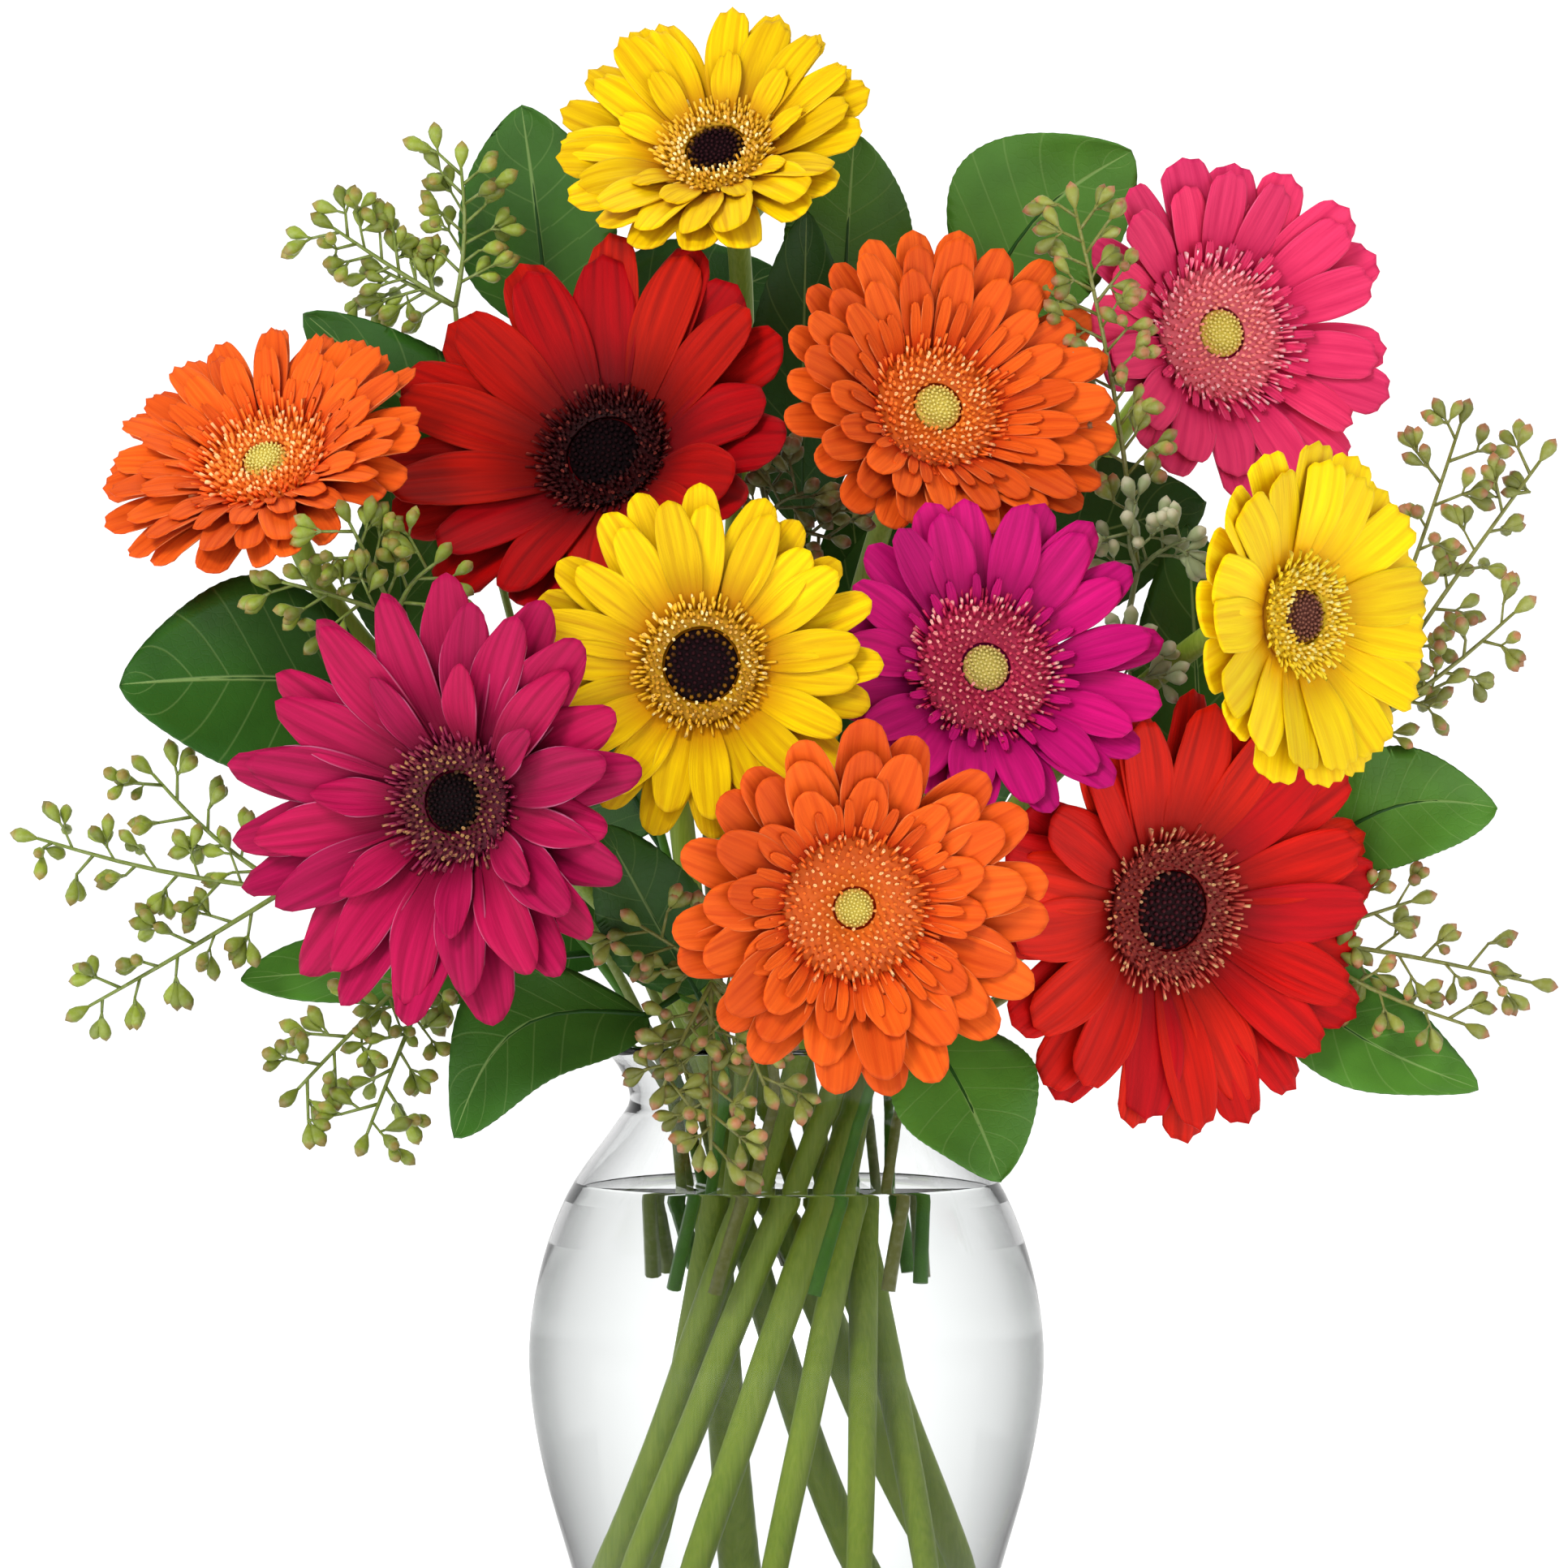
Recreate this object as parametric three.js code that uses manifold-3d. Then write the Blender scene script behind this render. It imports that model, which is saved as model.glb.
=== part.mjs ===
// Eleven gerberas with lemon leaf and seeded eucalyptus, standing in a clear glass vase of water.
// Millimetres, +Z up. The origin is the centre of the vase's underside, and the bouquet faces -Y.
import * as THREE from 'three';
import { mergeGeometries, mergeVertices } from 'three/addons/utils/BufferGeometryUtils.js';
import Module from 'manifold-3d';

const wasm = await Module();
wasm.setup();

// Vase, as radius and height pairs up the outside of the glass
const VASE_OUTLINE = [
  [40, 0], [42.8, 4], [51, 38], [60, 70], [63.5, 95],
  [61, 117], [54, 137], [43, 153], [38.7, 160], [40.8, 167], [45, 173],
];
const VASE_SIDES = 24;
const GLASS_WALL = 2.6;
const GLASS_FLOOR = 7;
const FLOOR_CORNER = 2;
const LIP_RISE = 1;
const WATER_LEVEL = 138;
const GAP = 0.3;

// Stems stand as one twisted bundle, narrowest at the crossing. They spread below it until they near the
// glass, and stand upright from there to the floor. The greens round them are cut short, and only just
// reach into the water.
const CROSSING_HEIGHT = 119;
const CROSSING_RADIUS = 14.5;
const BUNDLE_SLOPE = 0.285;
const SPREAD_HEIGHT = 42;
const SPREAD_DRIFT = 32.4;
const FOOT_HEIGHT = GLASS_FLOOR + 1.25;
const HOLE_BELOW_FOOT = 3;
const NECK_HEIGHT = 160;
const GREENS_RADIUS = 25.5;
const GREENS_SLOPE = 0.285;
const GREENS_FOOT = 112;

// Hub that the petals grow from. Its radius is a share of the disc's, and it narrows to its underside.
const HUB_DEPTH = 4;
const HUB_TOP = 1.4;
const HUB_SHARE = 0.88;
const HUB_TAPER = 0.86;
const LOW_ROOT = -2;

// Petals of the lower and upper layer: length and width as shares of the bloom's, and how much more they rise
const PETAL_THICKNESS = 0.8;
const LOWER_PETAL = { length: 1, width: 0.63, rise: 0 };
const UPPER_PETAL = { length: 0.9, width: 0.574, rise: 0.1 };
const SHORTEST_PETAL = 0.95;
const PETAL_STRAY = 0.05;
const RISE_STRAY = 0.025;
const WIDEST_AT = 0.66;
const TIP_WIDTH = 0.45;
const EDGE_LIFT = 0.9;
const MIDRIB_DIP = 0.4;
const TIP_DROOP = 0.5;

// Ring of florets, with long and short ones in turn, and the eye inside it
const FLORET_COLUMNS = 10;
const FLORET_FOOT = 0.8;
const LONG_FLORET = { reach: 1.04, tip: 3.4, crest: 5 };
const SHORT_FLORET = { reach: 0.9, tip: 2.2, crest: 3.4 };
const CREST_AT = 0.45;
const EYE_SIDES = 8;
const EYE_SHOULDER = { share: 0.86, rise: 1.7 };
const EYE_RISE = 2.4;

// Stem, and the cup of bracts under the petals. The bends are shares of the stem's span above the neck.
const STEM_SIDES = 6;
const STEM_STEPS = 5;
const NECK_BEND = 0.36;
const HEAD_BEND = 0.2;
const HEAD_SAG = 0.1;
const CALYX_DEPTH = 15;
const CALYX_WAIST = { rise: 0.45, share: 0.76 };
const BRACT_OUT = 2.4;
const BRACT_IN = 1.6;

// Foliage
const GREENS_SIDES = 4;
const GREENS_STEM_RADIUS = 1.5;
const LEAF_THICKNESS = 0.7;
const LEAF_ROWS = [0.16, 0.42, 0.68, 0.88];
const LEAF_FOLD = 0.16;
const LEAF_WAVE = 1;
const STALK_HALF = 0.9;
const STALK_SHARE = 0.14;
const TWIG_RADIUS = 0.65;
const TWIG_SIDES = 3;
const FRUITING_SHARE = 0.75;
const CAPSULE_LENGTH = 8;
const CAPSULE_RADIUS = 1.9;
const CAPSULE_BELLY = 0.66;
const CAPSULE_SIDES = 4;
const CAPSULE_SPACING = 12;
const CAPSULE_SEAT = 0.5;

const COLOURS = {
  yellow: 0xf2d20a, orange: 0xee6a1e, red: 0xc01c1c, raspberry: 0xb3204f, magenta: 0xd41f7e, pink: 0xe83a70,
  goldFlorets: 0xd89a2a, orangeFlorets: 0xf48a4a, maroonFlorets: 0x6a1618, pinkFlorets: 0xe0657a,
  brownFlorets: 0x8a5a2c, darkEye: 0x2a0a10, greenEye: 0xb9c04e, stem: 0x6f8f2a, leaf: 0x3c6a2a,
  capsule: 0x8e9a3c, glass: 0xdfe8e8, water: 0xe6f0ee,
};

// Each head: where the middle of its disc is, the way it faces (turned right, tipped up, in degrees),
// its radius over the petals, how far their tips stand in front of their roots, its disc and eye radii,
// its petals in each layer, and the stem's radius and bearing at the neck
const GERBERAS = [
  { name: 'yellow_top', at: [-17, 4, 393], turn: -14, tip: 36, radius: 42, cup: 13, disc: 14.5, eye: 7.2,
    layer: 10, stem: 2.9, slot: 106, petals: 'yellow', florets: 'goldFlorets', eyeColour: 'darkEye' },
  { name: 'orange_left', at: [-126, -26, 315], turn: -20, tip: 42, radius: 42, cup: 10, disc: 17, eye: 5.4,
    layer: 10, stem: 2.9, slot: 172, petals: 'orange', florets: 'orangeFlorets', eyeColour: 'greenEye' },
  { name: 'red_left', at: [-44, -15, 318], turn: -21, tip: 26, radius: 53, cup: 20, disc: 17, eye: 9,
    layer: 12, stem: 3.2, slot: 139, petals: 'red', florets: 'maroonFlorets', eyeColour: 'darkEye' },
  { name: 'orange_mid', at: [36, -25, 328.5], turn: 18, tip: 19, radius: 43, cup: 17, disc: 18, eye: 5.8,
    layer: 10, stem: 2.9, slot: 74, petals: 'orange', florets: 'orangeFlorets', eyeColour: 'greenEye' },
  { name: 'pink_right', at: [107, 16, 349.5], turn: 26, tip: 7, radius: 43.5, cup: 15, disc: 19.5, eye: 6,
    layer: 10, stem: 2.9, slot: 41, petals: 'pink', florets: 'pinkFlorets', eyeColour: 'greenEye' },
  { name: 'magenta_left', at: [-77.5, -78, 233.5], turn: -25, tip: 1, radius: 54, cup: 17, disc: 16, eye: 7,
    layer: 12, stem: 3.2, slot: 205, petals: 'raspberry', florets: 'brownFlorets', eyeColour: 'darkEye' },
  { name: 'yellow_mid', at: [-20, -80, 265.5], turn: 0, tip: 6, radius: 42, cup: 12, disc: 15.3, eye: 8.7,
    layer: 10, stem: 2.9, slot: 237, petals: 'yellow', florets: 'goldFlorets', eyeColour: 'darkEye' },
  { name: 'magenta_mid', at: [47, -57, 265], turn: 12, tip: 14, radius: 41, cup: 15, disc: 18.4, eye: 5.6,
    layer: 10, stem: 2.9, slot: 303, petals: 'magenta', florets: 'pinkFlorets', eyeColour: 'greenEye' },
  { name: 'yellow_right', at: [122, -52, 278], turn: 44, tip: -1, radius: 41.5, cup: 8.5, disc: 14, eye: 6.4,
    layer: 10, stem: 2.9, slot: 8, petals: 'yellow', florets: 'goldFlorets', eyeColour: 'darkEye' },
  { name: 'orange_low', at: [15.5, -94, 209], turn: 7, tip: -3, radius: 44, cup: 18, disc: 19.5, eye: 4.6,
    layer: 10, stem: 2.9, slot: 270, petals: 'orange', florets: 'orangeFlorets', eyeColour: 'greenEye' },
  { name: 'red_right', at: [92, -32, 207.5], turn: 31, tip: -7, radius: 56, cup: 13, disc: 19, eye: 9.6,
    layer: 12, stem: 3.2, slot: 336, petals: 'red', florets: 'maroonFlorets', eyeColour: 'darkEye' },
];

// Lemon leaf: each stem's bearing at the neck, its route above the neck, and its leaves. A leaf grows
// from a point of the route, with its tip, the way its upper face looks, its width, its arch and its sway
// to one side.
const LEMON_LEAF = [
  { name: 'lemon_leaf_left', bearing: 156, route: [[-48, 8, 196], [-74, -4, 226], [-92, -10, 262]],
    leaves: [
      { from: 2, tip: [-162, -26, 262], face: [-0.3, -1, 0.3], width: 53, arch: 5, sway: 0 },
      { from: 0, tip: [-134, -6, 190], face: [-0.3, -0.8, 0.6], width: 30, arch: 4, sway: -3 },
      { from: 1, tip: [-92, 48, 258], face: [-0.4, 0.9, 0.2], width: 36, arch: 4, sway: 0 },
      { from: 2, tip: [-97, 14, 312], face: [-0.1, -1, 0.1], width: 26, arch: 3, sway: 0 },
    ] },
  { name: 'lemon_leaf_upper_left', bearing: 130, route: [[-30, 28, 220], [-50, 26, 290], [-58, 20, 342]],
    leaves: [
      { from: 1, tip: [-119, 2, 354], face: [-0.2, -0.9, 0.5], width: 36, arch: 4, sway: 0 },
      { from: 2, tip: [-66, 20, 407], face: [-0.1, -1, 0.1], width: 42, arch: -4, sway: 0 },
      { from: 0, tip: [-58, 62, 262], face: [-0.2, 0.9, 0.5], width: 38, arch: 5, sway: 0 },
      { from: 0, tip: [-76, 24, 196], face: [-0.1, -1, 0.1], width: 36, arch: 2, sway: 0 },
      { from: 2, tip: [-2, 56, 368], face: [-0.1, -1, 0.1], width: 38, arch: 2, sway: 0 },
    ] },
  { name: 'lemon_leaf_top', bearing: 96, route: [[0, 34, 225], [4, 36, 290], [14, 28, 345]],
    leaves: [
      { from: 2, tip: [17, 20, 400], face: [0.1, -1, 0.1], width: 34, arch: -4, sway: 0 },
      { from: 1, tip: [5, 8, 380], face: [-0.1, -1, 0.3], width: 30, arch: 3, sway: 0 },
      { from: 0, tip: [4, 66, 285], face: [0, 1, 0.3], width: 42, arch: 5, sway: 0 },
      { from: 0, tip: [40, 22, 318], face: [0.1, -1, 0.1], width: 34, arch: 2, sway: 0 },
    ] },
  { name: 'lemon_leaf_upper_right', bearing: 62, route: [[24, 34, 225], [40, 38, 290], [42, 32, 350]],
    leaves: [
      { from: 2, tip: [86, 22, 396], face: [0.1, -1, 0.2], width: 48, arch: -4, sway: -6 },
      { from: 1, tip: [82, 74, 302], face: [0.4, 0.9, 0.2], width: 36, arch: 4, sway: 0 },
      { from: 1, tip: [104, 13, 308], face: [0.1, -1, 0.1], width: 42, arch: 3, sway: 0 },
      { from: 0, tip: [62, 60, 250], face: [0.3, 0.9, 0.4], width: 38, arch: 5, sway: 0 },
      { from: 0, tip: [16, 40, 312], face: [0.1, -1, 0.1], width: 32, arch: 2, sway: 0 },
    ] },
  { name: 'lemon_leaf_right', bearing: 24, route: [[62, 14, 190], [104, 8, 206], [126, 0, 222]],
    leaves: [
      { from: 2, tip: [174, -12, 232], face: [0.2, -1, 0.2], width: 31, arch: 3, sway: -5 },
      { from: 1, tip: [170, -6, 163], face: [0.2, -0.9, 0.4], width: 33, arch: 4, sway: 8 },
      { from: 0, tip: [96, 56, 214], face: [0.4, 0.9, 0.3], width: 34, arch: 4, sway: 0 },
      { from: 1, tip: [99, 4, 302], face: [0.1, -1, 0.1], width: 38, arch: 3, sway: 0 },
    ] },
  { name: 'lemon_leaf_front_left', bearing: -122, route: [[-18, -34, 181], [-26, -46, 187]],
    leaves: [
      { from: 1, tip: [-79, -64, 154], face: [-0.1, -0.95, 0.35], width: 35, arch: 4, sway: 13 },
      { from: 0, tip: [-44, -46, 228], face: [-0.1, -1, 0.1], width: 28, arch: 3, sway: 0 },
    ] },
  { name: 'lemon_leaf_front_right', bearing: -48, route: [[26, -36, 181], [31, -48, 184]],
    leaves: [
      { from: 1, tip: [51, -68, 144], face: [0.1, -0.85, 0.5], width: 38, arch: 4, sway: 0 },
    ] },
];

// Seeded eucalyptus: each stem's bearing at the neck, its route, and its twigs. A twig is given by the
// point of the route that it grows from and its end.
const EUCALYPTUS = [
  { name: 'eucalyptus_upper_left', bearing: 143, route: [[-58, 24, 244], [-78, 30, 316], [-82, 8, 356]],
    twigs: [
      [2, [-118, 4, 379]], [2, [-80, 2, 397]], [2, [-106, 10, 368]],
    ] },
  { name: 'eucalyptus_left', bearing: 188, route: [[-52, -6, 182], [-84, -14, 198], [-122, -18, 212]],
    twigs: [
      [2, [-190, -22, 226]], [2, [-160, -20, 245]], [2, [-176, -22, 180]],
      [1, [-122, -46, 160]], [1, [-103, -48, 148]],
    ] },
  { name: 'eucalyptus_mid_left', bearing: 172, route: [[-50, 0, 206], [-80, -24, 250], [-94, -44, 278]],
    twigs: [
      [2, [-127, -58, 288]], [2, [-107, -60, 306]], [2, [-80, -52, 296]],
    ] },
  { name: 'eucalyptus_front', bearing: -96, route: [[-8, -36, 182], [-18, -54, 190]],
    twigs: [
      [1, [-32, -68, 160]], [1, [-18, -70, 144]], [1, [-2, -66, 160]], [0, [-40, -56, 208]],
    ] },
  { name: 'eucalyptus_centre', bearing: 118, route: [[-20, 30, 230], [-14, 10, 285], [-4, -6, 302]],
    twigs: [
      [2, [-10, -16, 324]], [2, [8, -24, 312]], [2, [16, -26, 296]],
    ] },
  { name: 'eucalyptus_mid_right', bearing: 44, route: [[54, 14, 230], [80, -4, 270], [86, -14, 290]],
    twigs: [
      [2, [82, -34, 304]], [2, [102, -30, 300]], [1, [84, -40, 260]], [2, [69, -22, 385]],
    ] },
  { name: 'eucalyptus_right', bearing: -8, route: [[68, 2, 193], [122, -8, 200], [138, -10, 250]],
    twigs: [
      [1, [190, -14, 188]], [1, [160, -10, 211]], [1, [172, -18, 176]],
      [2, [184, -12, 284]], [2, [168, -10, 266]], [2, [190, -6, 323]], [2, [168, -6, 333]],
    ] },
];

const object = new THREE.Group();

function finish(colour, roughness, extra = {}) {
  return new THREE.MeshStandardMaterial({ color: COLOURS[colour], roughness, metalness: 0, ...extra });
}

function addPiece(name, geometry, material, parent = object) {
  const mesh = new THREE.Mesh(geometry, material);
  mesh.name = name;
  parent.add(mesh);
}

function vec(x, y, z) {
  return new THREE.Vector3(x, y, z);
}

// A repeatable random draw, so that every build grows the same flowers
function seeded(seed) {
  let state = seed;
  return function draw(low, high) {
    state = (state * 1664525 + 1013904223) % 4294967296;
    return low + (high - low) * (state / 4294967296);
  };
}

function geometryOf(points, triangles) {
  const geometry = new THREE.BufferGeometry();
  const values = points.flatMap((point) => point.toArray());
  geometry.setAttribute('position', new THREE.Float32BufferAttribute(values, 3));
  geometry.setIndex(triangles.flat());
  return geometry;
}

function solidOf(geometry) {
  const bare = geometry.clone();
  bare.deleteAttribute('normal');
  bare.deleteAttribute('uv');
  const merged = mergeVertices(bare, 1e-4);
  const corners = Array.from(merged.index.array);
  const kept = corners.filter((_, i) => {
    const [a, b, c] = corners.slice(i - (i % 3), i - (i % 3) + 3);
    return a !== b && b !== c && c !== a;
  });
  return new wasm.Manifold(new wasm.Mesh({
    numProp: 3,
    vertProperties: new Float32Array(merged.attributes.position.array),
    triVerts: new Uint32Array(kept),
  }));
}

function geometryFrom(solid) {
  const mesh = solid.getMesh();
  const geometry = new THREE.BufferGeometry();
  geometry.setAttribute('position', new THREE.BufferAttribute(mesh.vertProperties, 3));
  geometry.setIndex(new THREE.BufferAttribute(mesh.triVerts, 1));
  return geometry;
}

function fuse(geometries) {
  return geometryFrom(wasm.Manifold.union(geometries.map(solidOf)));
}

// Closed surface through rings of points. A ring may have twice the points of the one before, or be one
// point.
function loft(rings) {
  const points = rings.flat();
  const triangles = [];
  let start = 0;
  for (let r = 0; r + 1 < rings.length; r += 1) {
    const low = rings[r].length;
    const high = rings[r + 1].length;
    const next = start + low;
    const count = Math.max(low, high);
    const below = (i) => start + Math.floor((i * low) / count) % low;
    const above = (i) => next + Math.floor((i * high) / count) % high;
    for (let i = 0; i < count; i += 1) {
      if (below(i) !== below(i + 1)) {
        triangles.push([below(i), below(i + 1), above(i + 1)]);
      }
      if (high > 1) {
        triangles.push([below(i), above(i + 1), above(i)]);
      }
    }
    start = next;
  }
  const first = rings[0].length;
  for (let i = 1; i + 1 < first; i += 1) {
    triangles.push([0, i + 1, i]);
  }
  const last = rings[rings.length - 1].length;
  for (let i = 1; i + 1 < last; i += 1) {
    triangles.push([start, start + i, start + i + 1]);
  }
  return geometryOf(points, triangles);
}

// Round or ridged closed ring: a small outline turned about Z, with its own outline at each column
function crown(columns, outlineAt) {
  const points = [];
  const triangles = [];
  for (let c = 0; c < columns; c += 1) {
    const angle = (c / columns) * Math.PI * 2;
    for (const [radius, height] of outlineAt(c)) {
      points.push(vec(radius * Math.cos(angle), radius * Math.sin(angle), height));
    }
  }
  const n = points.length / columns;
  for (let c = 0; c < columns; c += 1) {
    const d = (c + 1) % columns;
    for (let i = 0; i < n; i += 1) {
      const j = (i + 1) % n;
      triangles.push([c * n + i, d * n + i, d * n + j], [c * n + i, d * n + j, c * n + j]);
    }
  }
  return geometryOf(points, triangles);
}

// Rings of points round a path, with a radius at each point of it
function ringsAlong(path, radii, sides) {
  const across = vec(0, 0, 0);
  const before = vec(0, 0, 0);
  return path.map((point, k) => {
    const ahead = path[Math.min(k + 1, path.length - 1)];
    const behind = path[Math.max(k - 1, 0)];
    const along = ahead.clone().sub(behind).normalize();
    if (k === 0) {
      across.copy(Math.abs(along.z) < 0.9 ? vec(0, 0, 1) : vec(0, 1, 0)).cross(along).normalize();
    } else {
      across.applyQuaternion(new THREE.Quaternion().setFromUnitVectors(before, along));
    }
    before.copy(along);
    const other = along.clone().cross(across);
    return Array.from({ length: sides }, (_, i) => {
      const angle = (i / sides) * Math.PI * 2;
      return point.clone()
        .addScaledVector(across, radii[k] * Math.cos(angle))
        .addScaledVector(other, radii[k] * Math.sin(angle));
    });
  });
}

// Thin blade from rows of points across it. Both faces are split into the same triangles.
// A rooted blade is left open at its first row, where it grows out of the face of another surface.
function blade(rows, up, thickness, rooted = false) {
  const middle = rows.flat();
  const half = up.clone().multiplyScalar(thickness / 2);
  const count = middle.length;
  const points = [...middle.map((p) => p.clone().add(half)), ...middle.map((p) => p.clone().sub(half))];
  const triangles = [];
  const starts = [];
  rows.reduce((sum, row) => {
    starts.push(sum);
    return sum + row.length;
  }, 0);
  for (let r = 0; r + 1 < rows.length; r += 1) {
    const low = rows[r].length;
    const high = rows[r + 1].length;
    let i = 0;
    let j = 0;
    while (i < low - 1 || j < high - 1) {
      const nextLow = i < low - 1 ? (i + 1) / (low - 1) : 2;
      const nextHigh = j < high - 1 ? (j + 1) / (high - 1) : 2;
      const a = starts[r] + i;
      const b = starts[r + 1] + j;
      const c = nextLow <= nextHigh ? a + 1 : b + 1;
      triangles.push([a, c, b], [count + a, count + b, count + c]);
      if (nextLow <= nextHigh) {
        i += 1;
      } else {
        j += 1;
      }
    }
  }
  const left = rows.map((row, r) => starts[r]);
  const right = rows.map((row, r) => starts[r] + row.length - 1);
  const bottom = rows[0].map((_, i) => starts[0] + i);
  const top = rows[rows.length - 1].map((_, i) => starts[rows.length - 1] + i);
  const rim = [...bottom, ...right.slice(1, -1), ...top.reverse(), ...left.slice(1, -1).reverse()];
  const edge = rim.filter((v, i) => v !== rim[(i + 1) % rim.length]);
  edge.forEach((a, i) => {
    const b = edge[(i + 1) % edge.length];
    if (!(rooted && bottom.includes(a) && bottom.includes(b))) {
      triangles.push([a, count + a, count + b], [a, count + b, b]);
    }
  });
  return geometryOf(points, triangles);
}

// Point at a height beside a ring, drifted off along its tangent from a place round it in degrees
function besideRing(radius, drift, degrees, height) {
  const angle = THREE.MathUtils.degToRad(degrees);
  return vec(
    radius * Math.cos(angle) - drift * Math.sin(angle),
    radius * Math.sin(angle) + drift * Math.cos(angle),
    height,
  );
}

// Point of a straight stem at a height, from its ring's radius, slope and place round the ring in degrees
function onBundle(radius, slope, degrees, height) {
  return besideRing(radius, slope * (height - CROSSING_HEIGHT), degrees, height);
}

// Place round the crossing ring of a stem that passes the neck at the given bearing
function slotAt(radius, slope, bearing) {
  return bearing - THREE.MathUtils.radToDeg(Math.atan((slope * (NECK_HEIGHT - CROSSING_HEIGHT)) / radius));
}

// Holes that the stems stand in, with the gap measured square to their flat sides
const stemHoles = [];

function cutHole(path, radius, sides) {
  const wide = radius + GAP / Math.cos(Math.PI / sides);
  stemHoles.push(loft(ringsAlong(path, path.map(() => wide), sides)));
}

// Petals: two layers of narrow blades. They grow out of alternate cells in the side of the hub.
function petalsOf(bloom, draw) {
  const hub = bloom.disc * HUB_SHARE;
  const cells = bloom.layer * 2;
  const half = PETAL_THICKNESS / 2;
  const corner = (cell, height, radius = hub) => {
    const angle = ((cell - 0.5) / cells) * Math.PI * 2;
    return vec(radius * Math.cos(angle), radius * Math.sin(angle), height);
  };
  const levels = [-HUB_DEPTH, LOW_ROOT - half, LOW_ROOT + half, HUB_TOP - PETAL_THICKNESS, HUB_TOP];
  const rings = levels.map((height, level) => Array.from({ length: cells }, (_, cell) => (
    corner(cell, height, level === 0 ? hub * HUB_TAPER : hub)
  )));
  const wall = [];
  for (let level = 0; level + 1 < levels.length; level += 1) {
    for (let cell = 0; cell < cells; cell += 1) {
      const lowRoot = level === 1 && cell % 2 === 0;
      const highRoot = level === 3 && cell % 2 === 1;
      if (!lowRoot && !highRoot) {
        const a = level * cells + cell;
        const b = level * cells + ((cell + 1) % cells);
        wall.push([a, b, b + cells], [a, b + cells, a + cells]);
      }
    }
  }
  const top = (levels.length - 1) * cells;
  for (let cell = 1; cell + 1 < cells; cell += 1) {
    wall.push([0, cell + 1, cell], [top, top + cell, top + cell + 1]);
  }
  const parts = [geometryOf(rings.flat(), wall)];
  const pitch = (Math.PI * 2) / bloom.layer;
  for (let cell = 0; cell < cells; cell += 1) {
    const upper = cell % 2 === 1;
    const petal = upper ? UPPER_PETAL : LOWER_PETAL;
    const root = upper ? HUB_TOP - half : LOW_ROOT;
    const angle = (cell / cells) * Math.PI * 2 + draw(-PETAL_STRAY, PETAL_STRAY) * pitch;
    const reach = bloom.radius * petal.length * draw(SHORTEST_PETAL, 1);
    const rise = bloom.cup / (bloom.radius - hub) + petal.rise + draw(-RISE_STRAY, RISE_STRAY);
    const widest = bloom.radius * petal.width * Math.tan(pitch / 2);
    const out = vec(Math.cos(angle), Math.sin(angle), 0);
    const side = vec(-Math.sin(angle), Math.cos(angle), 0);
    const spot = (radius, across, lift) => out.clone().multiplyScalar(radius)
      .addScaledVector(side, across)
      .add(vec(0, 0, root + (radius - hub) * rise + lift));
    const body = hub + (reach - hub) * WIDEST_AT;
    const tip = widest * TIP_WIDTH;
    parts.push(blade([
      [corner(cell + 1, root), corner(cell, root)],
      [spot(body, widest, EDGE_LIFT), spot(body, 0, -MIDRIB_DIP), spot(body, -widest, EDGE_LIFT)],
      [spot(reach, tip, -TIP_DROOP), spot(reach, -tip, -TIP_DROOP)],
    ], vec(0, 0, 1), PETAL_THICKNESS, true));
  }
  return mergeVertices(mergeGeometries(parts), 1e-4);
}

// Ring of small florets, raised as alternate points round the disc
function floretsOf(bloom) {
  const base = HUB_TOP + GAP;
  const inner = bloom.eye + 2 * GAP;
  return crown(FLORET_COLUMNS, (c) => {
    const floret = c % 2 === 0 ? LONG_FLORET : SHORT_FLORET;
    return [
      [inner, base],
      [bloom.disc * FLORET_FOOT, base],
      [bloom.disc * floret.reach, base + floret.tip],
      [inner + (bloom.disc - inner) * CREST_AT, base + floret.crest],
    ];
  });
}

// Eye: a low dome of unopened florets
function eyeOf(bloom) {
  const ring = (radius, height) => Array.from({ length: EYE_SIDES }, (_, i) => {
    const angle = (i / EYE_SIDES) * Math.PI * 2;
    return vec(radius * Math.cos(angle), radius * Math.sin(angle), height);
  });
  const base = HUB_TOP + GAP;
  return loft([
    ring(bloom.eye, base),
    ring(bloom.eye * EYE_SHOULDER.share, base + EYE_SHOULDER.rise),
    [vec(0, 0, base + EYE_RISE)],
  ]);
}

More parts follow.
